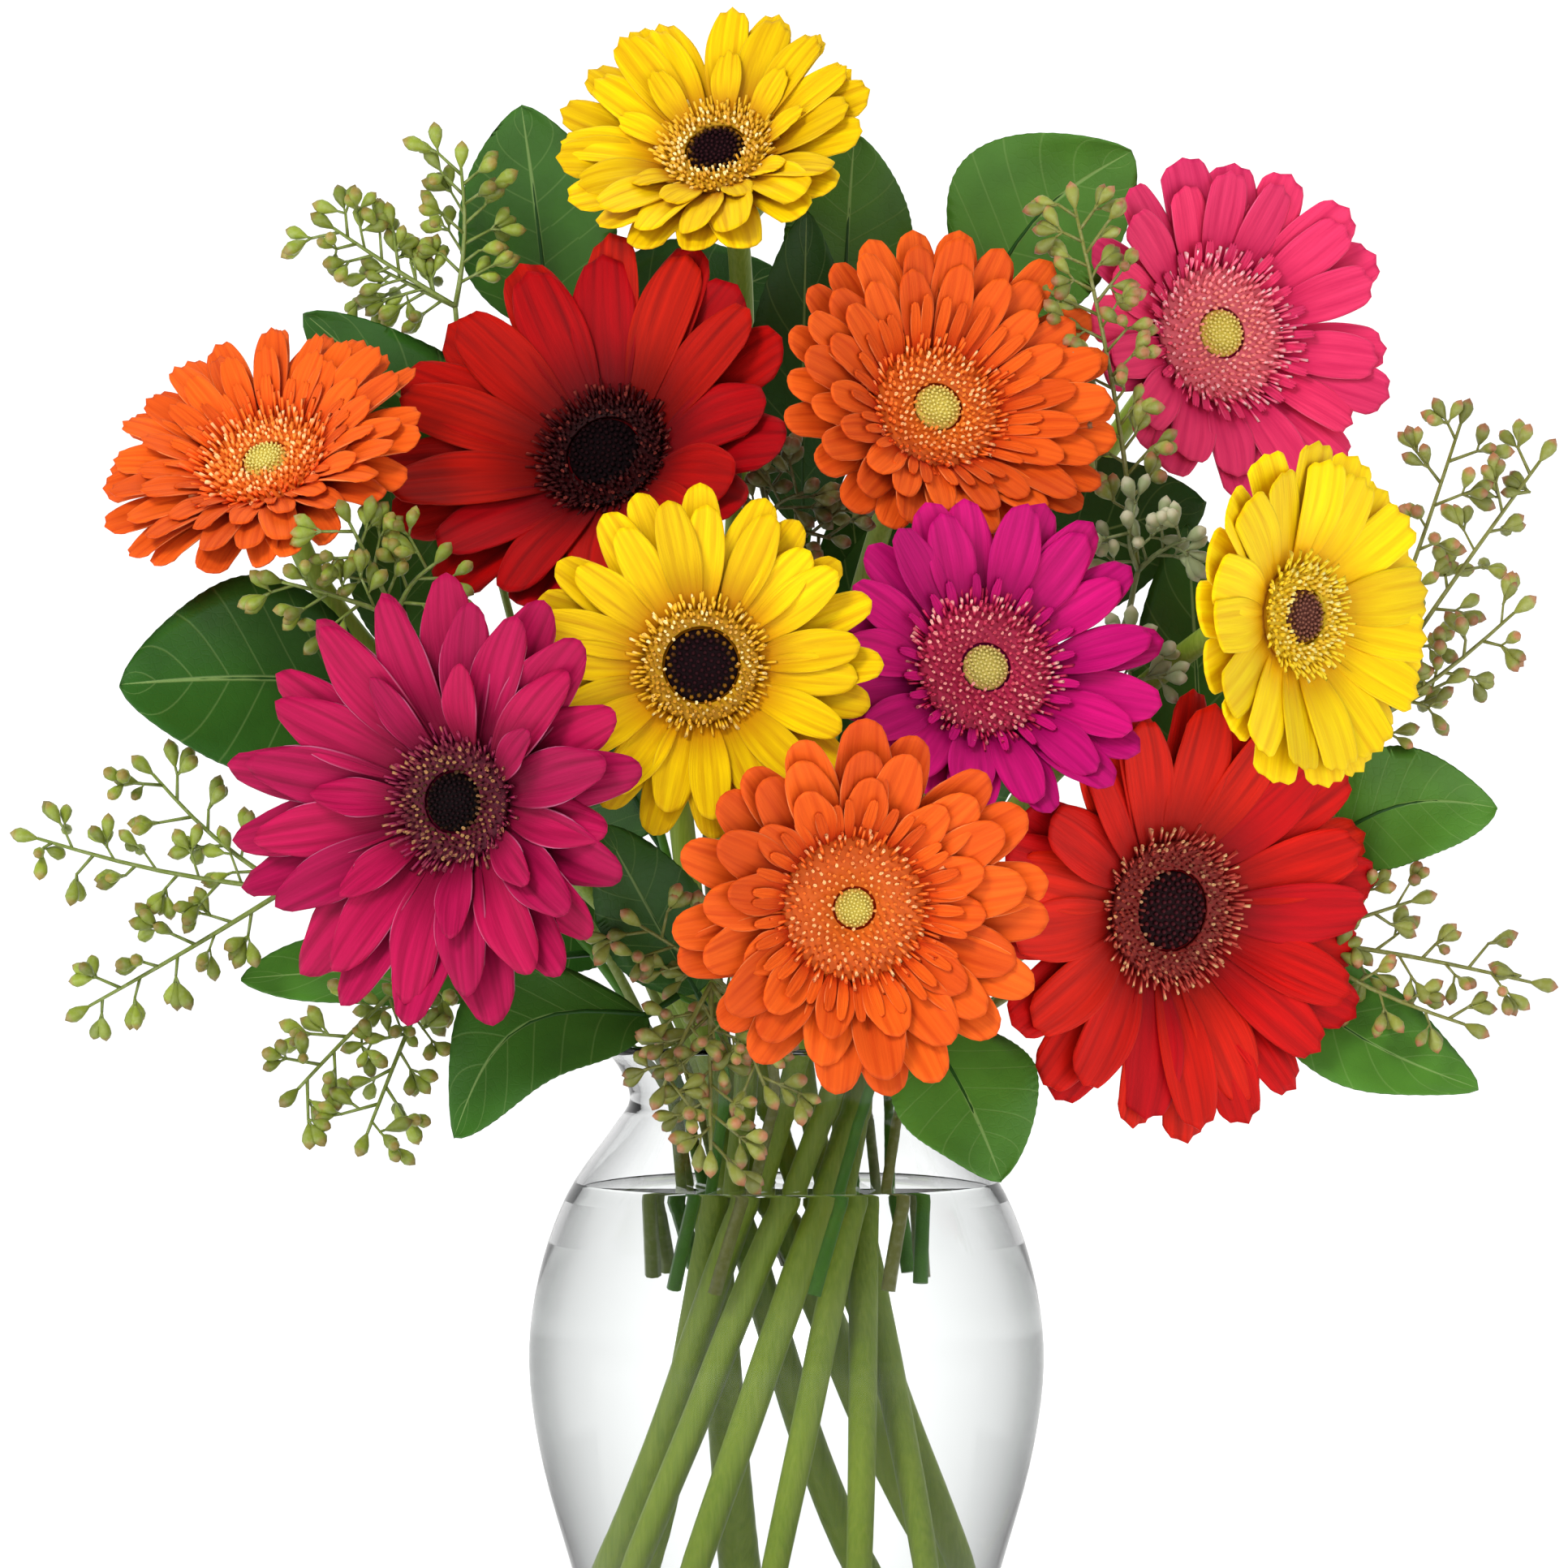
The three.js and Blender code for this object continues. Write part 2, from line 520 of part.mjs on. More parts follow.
// Stem from the vase's floor through the neck to the head, with the cup of green bracts under the petals
function stemOf(bloom, frame) {
  const slot = slotAt(CROSSING_RADIUS, BUNDLE_SLOPE, bloom.slot);
  const foot = onBundle(CROSSING_RADIUS, BUNDLE_SLOPE, slot, FOOT_HEIGHT);
  const neck = onBundle(CROSSING_RADIUS, BUNDLE_SLOPE, slot, NECK_HEIGHT);
  const spread = besideRing(CROSSING_RADIUS, -SPREAD_DRIFT, slot, SPREAD_HEIGHT);
  const along = neck.clone().sub(foot).normalize();
  const down = foot.clone().sub(spread).normalize();
  const facing = vec(0, 0, 1).transformDirection(frame);
  const head = vec(0, 0, -HUB_DEPTH - GAP - CALYX_DEPTH).applyMatrix4(frame);
  const span = head.distanceTo(neck);
  const sweep = new THREE.CubicBezierCurve3(
    neck,
    neck.clone().addScaledVector(along, span * NECK_BEND),
    head.clone().addScaledVector(facing, -span * HEAD_BEND).add(vec(0, 0, -span * HEAD_SAG)),
    head,
  );
  const path = [foot, spread, ...sweep.getSpacedPoints(STEM_STEPS)];
  const cut = [foot.clone().addScaledVector(down, HOLE_BELOW_FOOT), ...path.slice(1)];
  cutHole(cut, bloom.stem, STEM_SIDES);
  const rings = ringsAlong(path, path.map(() => bloom.stem), STEM_SIDES);
  const first = rings[rings.length - 1][0].clone().sub(head).projectOnPlane(facing).normalize();
  const other = facing.clone().cross(first);
  const hub = bloom.disc * HUB_SHARE;
  const waist = hub * CALYX_WAIST.share;
  const calyx = [
    { rise: CALYX_DEPTH * CALYX_WAIST.rise, even: waist, odd: waist },
    { rise: CALYX_DEPTH, even: hub + BRACT_OUT, odd: hub - BRACT_IN },
  ];
  for (const { rise, even, odd } of calyx) {
    rings.push(Array.from({ length: STEM_SIDES * 2 }, (_, i) => {
      const angle = (i / (STEM_SIDES * 2)) * Math.PI * 2;
      const radius = i % 2 === 0 ? even : odd;
      return head.clone()
        .addScaledVector(facing, rise)
        .addScaledVector(first, radius * Math.cos(angle))
        .addScaledVector(other, radius * Math.sin(angle));
    }));
  }
  return loft(rings);
}

GERBERAS.forEach((bloom, index) => {
  const draw = seeded(101 + index);
  const turn = THREE.MathUtils.degToRad(bloom.turn);
  const tip = THREE.MathUtils.degToRad(bloom.tip);
  const facing = vec(Math.sin(turn) * Math.cos(tip), -Math.cos(turn) * Math.cos(tip), Math.sin(tip));
  const head = new THREE.Group();
  head.position.set(...bloom.at);
  head.quaternion.setFromUnitVectors(vec(0, 0, 1), facing);
  head.updateMatrix();
  object.add(head);
  addPiece(`${bloom.name}_petals`, petalsOf(bloom, draw), finish(bloom.petals, 0.6), head);
  addPiece(`${bloom.name}_florets`, floretsOf(bloom), finish(bloom.florets, 0.75), head);
  addPiece(`${bloom.name}_eye`, eyeOf(bloom), finish(bloom.eyeColour, 0.85), head);
  addPiece(`${bloom.name}_stem`, stemOf(bloom, head.matrix), finish('stem', 0.55));
});

// Straight lower part of a leafy stem: from the water up through the neck
function greensFoot(bearing) {
  const slot = slotAt(GREENS_RADIUS, GREENS_SLOPE, bearing);
  return [
    onBundle(GREENS_RADIUS, GREENS_SLOPE, slot, GREENS_FOOT),
    onBundle(GREENS_RADIUS, GREENS_SLOPE, slot, NECK_HEIGHT),
  ];
}

// Woody stem, thinner towards its end, and the matching hole in the water
function greensStem(bearing, route) {
  const [foot, neck] = greensFoot(bearing);
  const bend = new THREE.CatmullRomCurve3([foot, neck, ...route.map((p) => vec(...p))], false, 'centripetal');
  const count = route.length * 2;
  const path = [foot];
  for (let k = 0; k <= count; k += 1) {
    path.push(bend.getPoint((k / 2 + 1) / (route.length + 1)));
  }
  const radii = path.map((_, k) => (
    THREE.MathUtils.lerp(GREENS_STEM_RADIUS, TWIG_RADIUS, Math.max(0, k - 1) / count)
  ));
  const cut = [foot.clone().setZ(foot.z - GAP), path[1]];
  cutHole(cut, GREENS_STEM_RADIUS, GREENS_SIDES);
  return loft(ringsAlong(path, radii, GREENS_SIDES));
}

// Half-width of an oval leaf with a drawn-out tip, from 0 at its root to 0 at its tip
function leafOutline(share) {
  return Math.sin(Math.PI * share ** 0.88) ** 0.68 * (1 - 0.1 * share);
}

// One leaf on a short stalk. Its edges are waved, and its two halves fold up a little along the midrib.
function leafOf(node, leaf) {
  const tip = vec(...leaf.tip);
  const root = node.clone().lerp(tip, STALK_SHARE);
  const along = tip.clone().sub(root);
  const length = along.length();
  along.normalize();
  const up = vec(...leaf.face).projectOnPlane(along).normalize();
  const side = up.clone().cross(along);
  const spot = (share, across, lift) => root.clone()
    .addScaledVector(along, share * length)
    .addScaledVector(side, across + leaf.sway * Math.sin(Math.PI * share))
    .addScaledVector(up, lift + leaf.arch * Math.sin(Math.PI * share));
  const rows = [
    [node.clone().addScaledVector(side, STALK_HALF), node.clone().addScaledVector(side, -STALK_HALF)],
    [spot(0, STALK_HALF, 0), spot(0, -STALK_HALF, 0)],
  ];
  LEAF_ROWS.forEach((share, k) => {
    const half = (leaf.width / 2) * leafOutline(share);
    const fold = half * LEAF_FOLD;
    const wave = k % 2 === 0 ? LEAF_WAVE : -LEAF_WAVE;
    rows.push([spot(share, half, fold + wave), spot(share, 0, 0), spot(share, -half, fold - wave)]);
  });
  rows.push([spot(1, 0, 0)]);
  return blade(rows, up, LEAF_THICKNESS);
}

// Pear-shaped seed capsule, which narrows into its own stalk
function capsuleOf(root, direction) {
  const spot = (share) => root.clone().addScaledVector(direction, CAPSULE_LENGTH * share);
  const path = [spot(0), spot(CAPSULE_BELLY), spot(1)];
  const belly = ringsAlong(path, [0, CAPSULE_RADIUS, 0], CAPSULE_SIDES)[1];
  return loft([[path[0]], belly, [path[2]]]);
}

// Twig with capsules that lean out to either side in turn, and one at its tip
function twigOf(start, end, draw) {
  const along = end.clone().sub(start);
  const length = along.length() - CAPSULE_LENGTH;
  along.normalize();
  const sideways = vec(draw(-0.3, 0.3), -1, draw(-0.3, 0.3)).cross(along).normalize();
  const outward = along.clone().cross(sideways);
  const line = [start, start.clone().addScaledVector(along, length)];
  const solids = [
    loft(ringsAlong(line, [TWIG_RADIUS, TWIG_RADIUS], TWIG_SIDES)),
    capsuleOf(start.clone().addScaledVector(along, length - CAPSULE_SEAT), along),
  ];
  const fruiting = length * FRUITING_SHARE;
  const count = Math.round(fruiting / CAPSULE_SPACING);
  for (let k = 1; k <= count; k += 1) {
    const place = start.clone().addScaledVector(along, length - (fruiting * k) / count - CAPSULE_SEAT);
    const heading = along.clone()
      .addScaledVector(sideways, k % 2 === 0 ? 1 : -1)
      .addScaledVector(outward, draw(-0.8, 0.8))
      .normalize();
    solids.push(capsuleOf(place, heading));
  }
  return solids;
}

for (const sprig of LEMON_LEAF) {
  const leaves = sprig.leaves.map((leaf) => leafOf(vec(...sprig.route[leaf.from]), leaf));
  addPiece(sprig.name, fuse([greensStem(sprig.bearing, sprig.route), ...leaves]), finish('leaf', 0.45));
}

EUCALYPTUS.forEach((sprig, index) => {
  const draw = seeded(501 + index);
  const twigs = sprig.twigs.flatMap(([from, end]) => twigOf(vec(...sprig.route[from]), vec(...end), draw));
  addPiece(sprig.name, fuse([greensStem(sprig.bearing, sprig.route), ...twigs]), finish('capsule', 0.6));
});

// Radius of the vase's outside at a height
function outsideAt(height) {
  const k = VASE_OUTLINE.findIndex(([, z]) => z > height);
  const [r0, z0] = VASE_OUTLINE[k - 1];
  const [r1, z1] = VASE_OUTLINE[k];
  return THREE.MathUtils.mapLinear(height, z0, z1, r0, r1);
}

// Inside of the glass from the middle of its floor up to a height, set back by a further gap
function insideTo(height, gap) {
  const floor = GLASS_FLOOR + gap;
  const inset = GLASS_WALL + gap;
  const wall = VASE_OUTLINE.filter(([, z]) => z > floor + FLOOR_CORNER && z < height);
  return [
    [0, floor],
    [outsideAt(floor) - inset - FLOOR_CORNER, floor],
    [outsideAt(floor + FLOOR_CORNER) - inset, floor + FLOOR_CORNER],
    ...wall.map(([radius, z]) => [radius - inset, z]),
  ];
}

function turned(profile) {
  const points = profile.map(([radius, height]) => new THREE.Vector2(radius, height));
  return new THREE.LatheGeometry(points, VASE_SIDES).rotateX(Math.PI / 2);
}

const rim = VASE_OUTLINE[VASE_OUTLINE.length - 1];
const vaseProfile = [
  [0, 0],
  ...VASE_OUTLINE,
  [rim[0] - GLASS_WALL / 2, rim[1] + LIP_RISE],
  [rim[0] - GLASS_WALL, rim[1]],
  ...insideTo(rim[1], 0).reverse(),
];
const vase = solidOf(turned(vaseProfile));
addPiece('vase', geometryFrom(vase), finish('glass', 0.05, { transparent: true, opacity: 0.35 }));

const waterProfile = [
  ...insideTo(WATER_LEVEL, GAP),
  [outsideAt(WATER_LEVEL) - GLASS_WALL - GAP, WATER_LEVEL],
  [0, WATER_LEVEL],
];
const holes = wasm.Manifold.union(stemHoles.map(solidOf));
const water = solidOf(turned(waterProfile)).subtract(holes);
addPiece('water', geometryFrom(water), finish('water', 0.05, { transparent: true, opacity: 0.3 }));

export default object;
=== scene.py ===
import random
from functools import partial
from math import atan, cos, degrees, pi, radians, sin, sqrt, tau

import bmesh
import bpy
from mathutils import Matrix, Vector


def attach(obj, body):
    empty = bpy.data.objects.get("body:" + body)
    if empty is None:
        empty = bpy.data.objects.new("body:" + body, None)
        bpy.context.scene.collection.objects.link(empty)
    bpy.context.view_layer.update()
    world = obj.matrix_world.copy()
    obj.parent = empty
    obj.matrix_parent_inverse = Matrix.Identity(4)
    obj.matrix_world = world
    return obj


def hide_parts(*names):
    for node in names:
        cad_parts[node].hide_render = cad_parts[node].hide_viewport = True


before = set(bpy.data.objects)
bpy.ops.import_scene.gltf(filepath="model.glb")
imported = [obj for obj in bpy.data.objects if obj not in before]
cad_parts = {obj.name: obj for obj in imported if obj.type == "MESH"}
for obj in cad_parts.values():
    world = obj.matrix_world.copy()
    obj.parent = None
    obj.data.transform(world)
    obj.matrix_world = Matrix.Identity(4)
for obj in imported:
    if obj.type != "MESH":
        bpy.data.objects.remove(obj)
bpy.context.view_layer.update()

# The vase is clear soda-lime glass, blown into a shouldered body with a narrow neck and a flared lip.
# Its wall is 2.6 mm thick and its floor 7 mm, and it stands on the flat of its foot.
GLASS_OUTSIDE = [
    (0.04, 0), (0.0428, 0.004), (0.051, 0.038), (0.06, 0.07), (0.0635, 0.095), (0.061, 0.117),
    (0.054, 0.137), (0.043, 0.153), (0.0387, 0.16), (0.0408, 0.167), (0.045, 0.173),
]
GLASS_WALL = 0.0026
GLASS_FLOOR = 0.007
GLASS_CORNER = 0.002
LIP_TOP = (0.0437, 0.174)
CURVE_STEPS = 5
TURN_STEPS = 72
GLASS_TINT = "FBFCFC"
GLASS_IOR = 1.5
CLEAR_SPECULAR = (0.2, 0.2, 0.2, 1)
MERGED = 1e-6
MIX_SOCKETS = (0, 6, 7)
MAIN_OUTPUTS = {"MIX": 2, "ATTRIBUTE": "Fac", "TEX_COORD": "Object"}
UP = Vector((0, 0, 1))


def linear(hex_colour):
    """Linear colour of a six-digit sRGB hex value."""
    channels = [int(hex_colour[i:i + 2], 16) / 255 for i in (0, 2, 4)]
    return [c / 12.92 if c <= 0.04045 else ((c + 0.055) / 1.055) ** 2.4 for c in channels] + [1]


def add_node(tree, kind, inputs=(), **settings):
    """Adds a node with its settings. Its inputs are values, sockets or nodes (for their main output), by
    name or else in order. A mix takes its factor and its two colours."""
    node = tree.nodes.new("ShaderNode" + kind)
    for setting, value in settings.items():
        setattr(node, setting, value)
    if kind == "Mix":
        node.data_type = "RGBA"
        inputs = dict(zip(MIX_SOCKETS, inputs))
    elif not isinstance(inputs, dict):
        inputs = dict(enumerate(inputs))
    for socket, value in inputs.items():
        if isinstance(value, bpy.types.Node):
            value = value.outputs[MAIN_OUTPUTS.get(value.type, 0)]
        if isinstance(value, bpy.types.NodeSocket):
            tree.links.new(value, node.inputs[socket])
        else:
            node.inputs[socket].default_value = value
    return node


def new_material(name):
    """An empty material, and the function that adds a node to it."""
    material = bpy.data.materials.new(name)
    material.use_nodes = True
    material.node_tree.nodes.clear()
    return material, partial(add_node, material.node_tree)


def curve_through(points, steps):
    """Points of a smooth curve through all but the first and the last of a row of points."""
    line = []
    for before, start, end, after in zip(points, points[1:], points[2:], points[3:]):
        for step in range(steps):
            t = step / steps
            bend = 2 * before - 5 * start + 4 * end - after
            snap = 3 * (start - end) + after - before
            line.append((2 * start + (end - before) * t + bend * t ** 2 + snap * t ** 3) / 2)
    return [*line, points[-2]]


def smooth_line(points, steps):
    """A profile's points, joined by a smooth curve."""
    points = [Vector((x, 0, z)) for x, z in points]
    return curve_through([points[0], *points, points[-1]], steps)


def turn_profile(bm, line, steps):
    """Spins a profile round the Z axis into a closed shape."""
    verts = [bm.verts.new(point) for point in line]
    edges = [bm.edges.new(pair) for pair in zip(verts, verts[1:])]
    bmesh.ops.spin(bm, geom=verts + edges, cent=(0, 0, 0), axis=UP, angle=tau, steps=steps, use_merge=True)
    bmesh.ops.remove_doubles(bm, verts=bm.verts, dist=MERGED)
    bmesh.ops.recalc_face_normals(bm, faces=bm.faces)


def make_mesh(name, bm, materials=()):
    """Finished mesh with its materials."""
    mesh = bpy.data.meshes.new(name)
    bm.to_mesh(mesh)
    bm.free()
    for material in materials:
        mesh.materials.append(material)
    return mesh


def add_object(name, data):
    """Puts a mesh, a lamp or a camera in the scene."""
    thing = bpy.data.objects.new(name, data)
    bpy.context.scene.collection.objects.link(thing)
    return thing


def new_piece(name, bm, materials, node, slot, clear=False):
    """Piece that stands for a CAD node. A clear one throws no shadow."""
    mesh = make_mesh(name, bm, materials)
    mesh.shade_smooth()
    piece = add_object(name, mesh)
    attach(piece, "root")
    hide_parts(node)
    piece.visible_shadow = not clear
    return piece


def inside_of_glass(top):
    """Inner profile of the glass, from the floor's edge up to a last point."""
    wall = [(x - GLASS_WALL, z) for x, z in GLASS_OUTSIDE if GLASS_FLOOR + GLASS_CORNER < z < top[1]]
    edge = GLASS_OUTSIDE[1][0] - GLASS_WALL
    corner = (edge, GLASS_FLOOR + GLASS_CORNER)
    return [Vector((edge - GLASS_CORNER, 0, GLASS_FLOOR)), *smooth_line([corner, *wall, top], CURVE_STEPS)]


def clear_finish(name, tint, ior):
    """Clear and smooth all over: it is seen only where it bends or mirrors the light."""
    material, add = new_material(name)
    clear = add("BsdfPrincipled", {
        "Base Color": linear(tint), "Transmission Weight": 1, "Roughness": 0, "IOR": ior,
        "Specular Tint": CLEAR_SPECULAR,
    })
    add("OutputMaterial", [clear])
    return material


foot_x, foot_z = GLASS_OUTSIDE[0]
outside = [Vector((foot_x, 0, foot_z)), *smooth_line(GLASS_OUTSIDE[1:], CURVE_STEPS)]
rim_x, rim_z = GLASS_OUTSIDE[-1]
inside = inside_of_glass((rim_x - GLASS_WALL, rim_z))
bm = bmesh.new()
lip = Vector((LIP_TOP[0], 0, LIP_TOP[1]))
turn_profile(bm, [UP * 0, *outside, lip, *reversed(inside), UP * GLASS_FLOOR], TURN_STEPS)
# Soda-lime glass: bright wherever it bends the light, with no colour of its own
glass = clear_finish("clear_soda_lime_glass", GLASS_TINT, GLASS_IOR)
new_piece("glass_vase", bm, [glass], "vase", "glass", clear=True)

# The water fills the vase to just under its shoulder and takes the shape of the inside of the glass.
# It climbs the glass by a millimetre at its edge. Its skin lies just inside the glass, so that no film
# of air shows between them.
WATER_LEVEL = 0.138
WATER_OVERLAP = 0.0003
WATER_CLIMB = 0.001
WATER_IOR = 1.33
WATER_TINT = "FDFEFD"
low, high = GLASS_OUTSIDE[6], GLASS_OUTSIDE[7]
share = (WATER_LEVEL + WATER_CLIMB - low[1]) / (high[1] - low[1])
edge_x = low[0] + (high[0] - low[0]) * share - GLASS_WALL
wet = inside_of_glass((edge_x, WATER_LEVEL + WATER_CLIMB))
wet = [Vector((point.x + WATER_OVERLAP, 0, point.z - WATER_OVERLAP)) for point in wet]
flat_from = Vector((edge_x - 3 * WATER_CLIMB, 0, WATER_LEVEL))
bm = bmesh.new()
turn_profile(bm, [UP * (GLASS_FLOOR - WATER_OVERLAP), *wet, flat_from, UP * WATER_LEVEL], TURN_STEPS)
# Clean tap water: clear, flat and without colour at this depth
water = clear_finish("still_water", WATER_TINT, WATER_IOR)
new_piece("vase_water", bm, [water], "water", "water", clear=True)

# Ray petals are soft straps of plant tissue, 0.4 mm thick, that grow in layers out of the side of the
# head. Each is ribbed along its length, a little hollow, and round or cut into three teeth at its tip.


def table(fields, rows):
    """Table whose rows are kept by the names of their fields."""
    return {name: dict(zip(fields.split(), row)) for name, row in rows.items()}


# at: middle of the disc. turn, tip: the way the head faces, in degrees. cup: how far the petals' tips
# stand in front of their roots. teeth, boat: how far the tip is cut and the strap hollowed. point, narrow:
# how long and how slim the tip is. loose: how unevenly the petals lie. layers: petals, length as a share
# of the radius, width, root's height and further rise.
GERBERAS = table(
    "variety at turn tip radius cup disc eye stem bearing teeth boat point narrow loose layers", {
    "yellow_top": ("yellow", (-0.017, 0.004, 0.393), -14, 36, 0.0401, 0.013, 0.0145, 0.0072, 0.0029, 106,
        0.5, 0.5, 1, 0.18, 1.1, [(18, 1, 0.0122, -0.002, 0), (16, 0.92, 0.0112, 0, 0.08),
        (9, 0.62, 0.0078, 0.0012, 0.3)]),
    "orange_left": ("orange", (-0.126, -0.026, 0.315), -20, 42, 0.042, 0.01, 0.017, 0.0054, 0.0029, 172,
        0.4, 0.6, 1, 0.2, 1.1, [(22, 1, 0.0096, -0.002, -0.05), (20, 0.9, 0.009, 0, 0.08),
        (18, 0.72, 0.0072, 0.001, 0.25), (24, 0.56, 0.0028, 0.0014, 0.4)]),
    "red_left": ("deep_red", (-0.044, -0.015, 0.318), -21, 26, 0.053, 0.02, 0.017, 0.009, 0.0032, 139,
        0.3, 0.5, 1, 0.18, 0.8, [(15, 1, 0.0184, -0.002, 0), (13, 0.92, 0.017, 0, 0.1)]),
    "orange_mid": ("orange", (0.036, -0.025, 0.3285), 18, 19, 0.043, 0.017, 0.018, 0.0058, 0.0029, 74,
        0.1, 0.7, 1, 0.18, 0.7, [(22, 1, 0.011, -0.002, -0.04), (20, 0.9, 0.0104, 0, 0.1),
        (18, 0.76, 0.0084, 0.001, 0.28), (30, 0.58, 0.0028, 0.0014, 0.5)]),
    "pink_right": ("pink", (0.107, 0.016, 0.3495), 26, 7, 0.0435, 0.015, 0.0195, 0.006, 0.0029, 41,
        0.4, 0.2, 0.8, 0.12, 1, [(16, 1, 0.0134, -0.002, 0), (14, 0.9, 0.0122, 0, 0.1),
        (26, 0.53, 0.0022, 0.0014, 0.3)]),
    "magenta_left": ("raspberry", (-0.0775, -0.078, 0.2335), -25, 1, 0.054, 0.017, 0.016, 0.007, 0.0032, 205,
        0.15, 0.8, 1.4, 0.34, 1.3, [(18, 1, 0.0148, -0.002, 0), (16, 0.9, 0.0136, 0, 0.12),
        (7, 0.62, 0.0094, 0.0012, 0.4)]),
    "yellow_mid": ("yellow", (-0.02, -0.08, 0.2655), 0, 6, 0.042, 0.012, 0.0153, 0.0087, 0.0029, 237,
        0.1, 0.5, 1.1, 0.22, 0.8, [(20, 1, 0.0108, -0.002, -0.03), (19, 0.91, 0.0104, 0, 0.1)]),
    "magenta_mid": ("magenta", (0.047, -0.057, 0.265), 12, 14, 0.041, 0.015, 0.0184, 0.0056, 0.0029, 303,
        0.2, 0.4, 1.1, 0.22, 0.9, [(17, 1, 0.0126, -0.002, 0), (14, 0.92, 0.0116, 0, 0.1),
        (20, 0.54, 0.0022, 0.0014, 0.3)]),
    "yellow_right": ("lemon", (0.122, -0.052, 0.278), 44, -1, 0.0415, 0.0085, 0.014, 0.0064, 0.0029, 8,
        0.65, 0.1, 0.6, 0.06, 0.6, [(16, 1, 0.0142, -0.002, 0), (15, 0.93, 0.0132, 0, 0.08)]),
    "orange_low": ("orange", (0.0155, -0.094, 0.209), 7, -3, 0.044, 0.0168, 0.0195, 0.0046, 0.0029, 270,
        0.05, 1, 1, 0.2, 0.7, [(19, 1, 0.0126, -0.002, -0.04), (17, 0.88, 0.0122, 0, 0.1),
        (12, 0.7, 0.0102, 0.001, 0.28), (34, 0.58, 0.0026, 0.0014, 0.45)]),
    "red_right": ("red", (0.092, -0.032, 0.2075), 31, -7, 0.056, 0.013, 0.019, 0.0096, 0.0032, 336,
        0.6, 0.3, 1, 0.2, 1.1, [(20, 1, 0.0158, -0.002, 0), (17, 0.93, 0.015, 0, 0.09)]),
})
# Petal colours of each variety: the strap, its root, its rim, its underside and its record slot. The root
# colour is partly the petal's own deeper colour and partly painted shade, and it also paints the shade in
# the creases
VARIETIES = {
    "yellow": ("F6CE04", "C07A06", "FFE030", "C88408", "yellow_petal"),
    "lemon": ("FEDC00", "E4A400", "FFE830", "E4AC00", "yellow_petal"),
    "orange": ("EE621A", "C63A0C", "FF9C5C", "DA581A", "orange_petal"),
    "deep_red": ("B80E06", "5C0406", "C82412", "8C0E10", "red_petal"),
    "red": ("DC1408", "880606", "E42C18", "AC1418", "red_petal"),
    "raspberry": ("B8124E", "6C0628", "EC94BC", "A4205A", "raspberry_petal"),
    "magenta": ("CE1074", "8C044E", "E03096", "B81C78", "magenta_petal"),
    "pink": ("EC3A6C", "BC144C", "F4749C", "D43E72", "pink_petal"),
}
HUB_DEPTH = 0.004
HUB_TOP = 0.0014
HUB_SHARE = 0.88
HUB_STEPS = 24
PETAL_COLUMNS = 8
PETAL_ROWS = 12
PETAL_THICKNESS = 0.0004
PETAL_WIDEST = 0.66
PETAL_ROOT_WIDTH = 0.42
TOOTH_DEPTH = 0.0014
RIB_DEPTH = 0.08
BOAT_DEPTH = 0.36
STREAK_WIDTH = 0.0006
SMOOTH = {"interpolation_type": "SMOOTHSTEP"}


def head_matrix(bloom):
    """Places a head: its own Z axis is the way that it faces."""
    turn, tip = radians(bloom["turn"]), radians(bloom["tip"])
    facing = Vector((sin(turn) * cos(tip), -cos(turn) * cos(tip), sin(tip)))
    return Matrix.Translation(bloom["at"]) @ UP.rotation_difference(facing).to_matrix().to_4x4()


def blooms(seed):
    """Each gerbera's name, values, own draw of chance and head."""
    for index, (name, bloom) in enumerate(GERBERAS.items()):
        yield name, bloom, random.Random(seed + index), head_matrix(bloom)


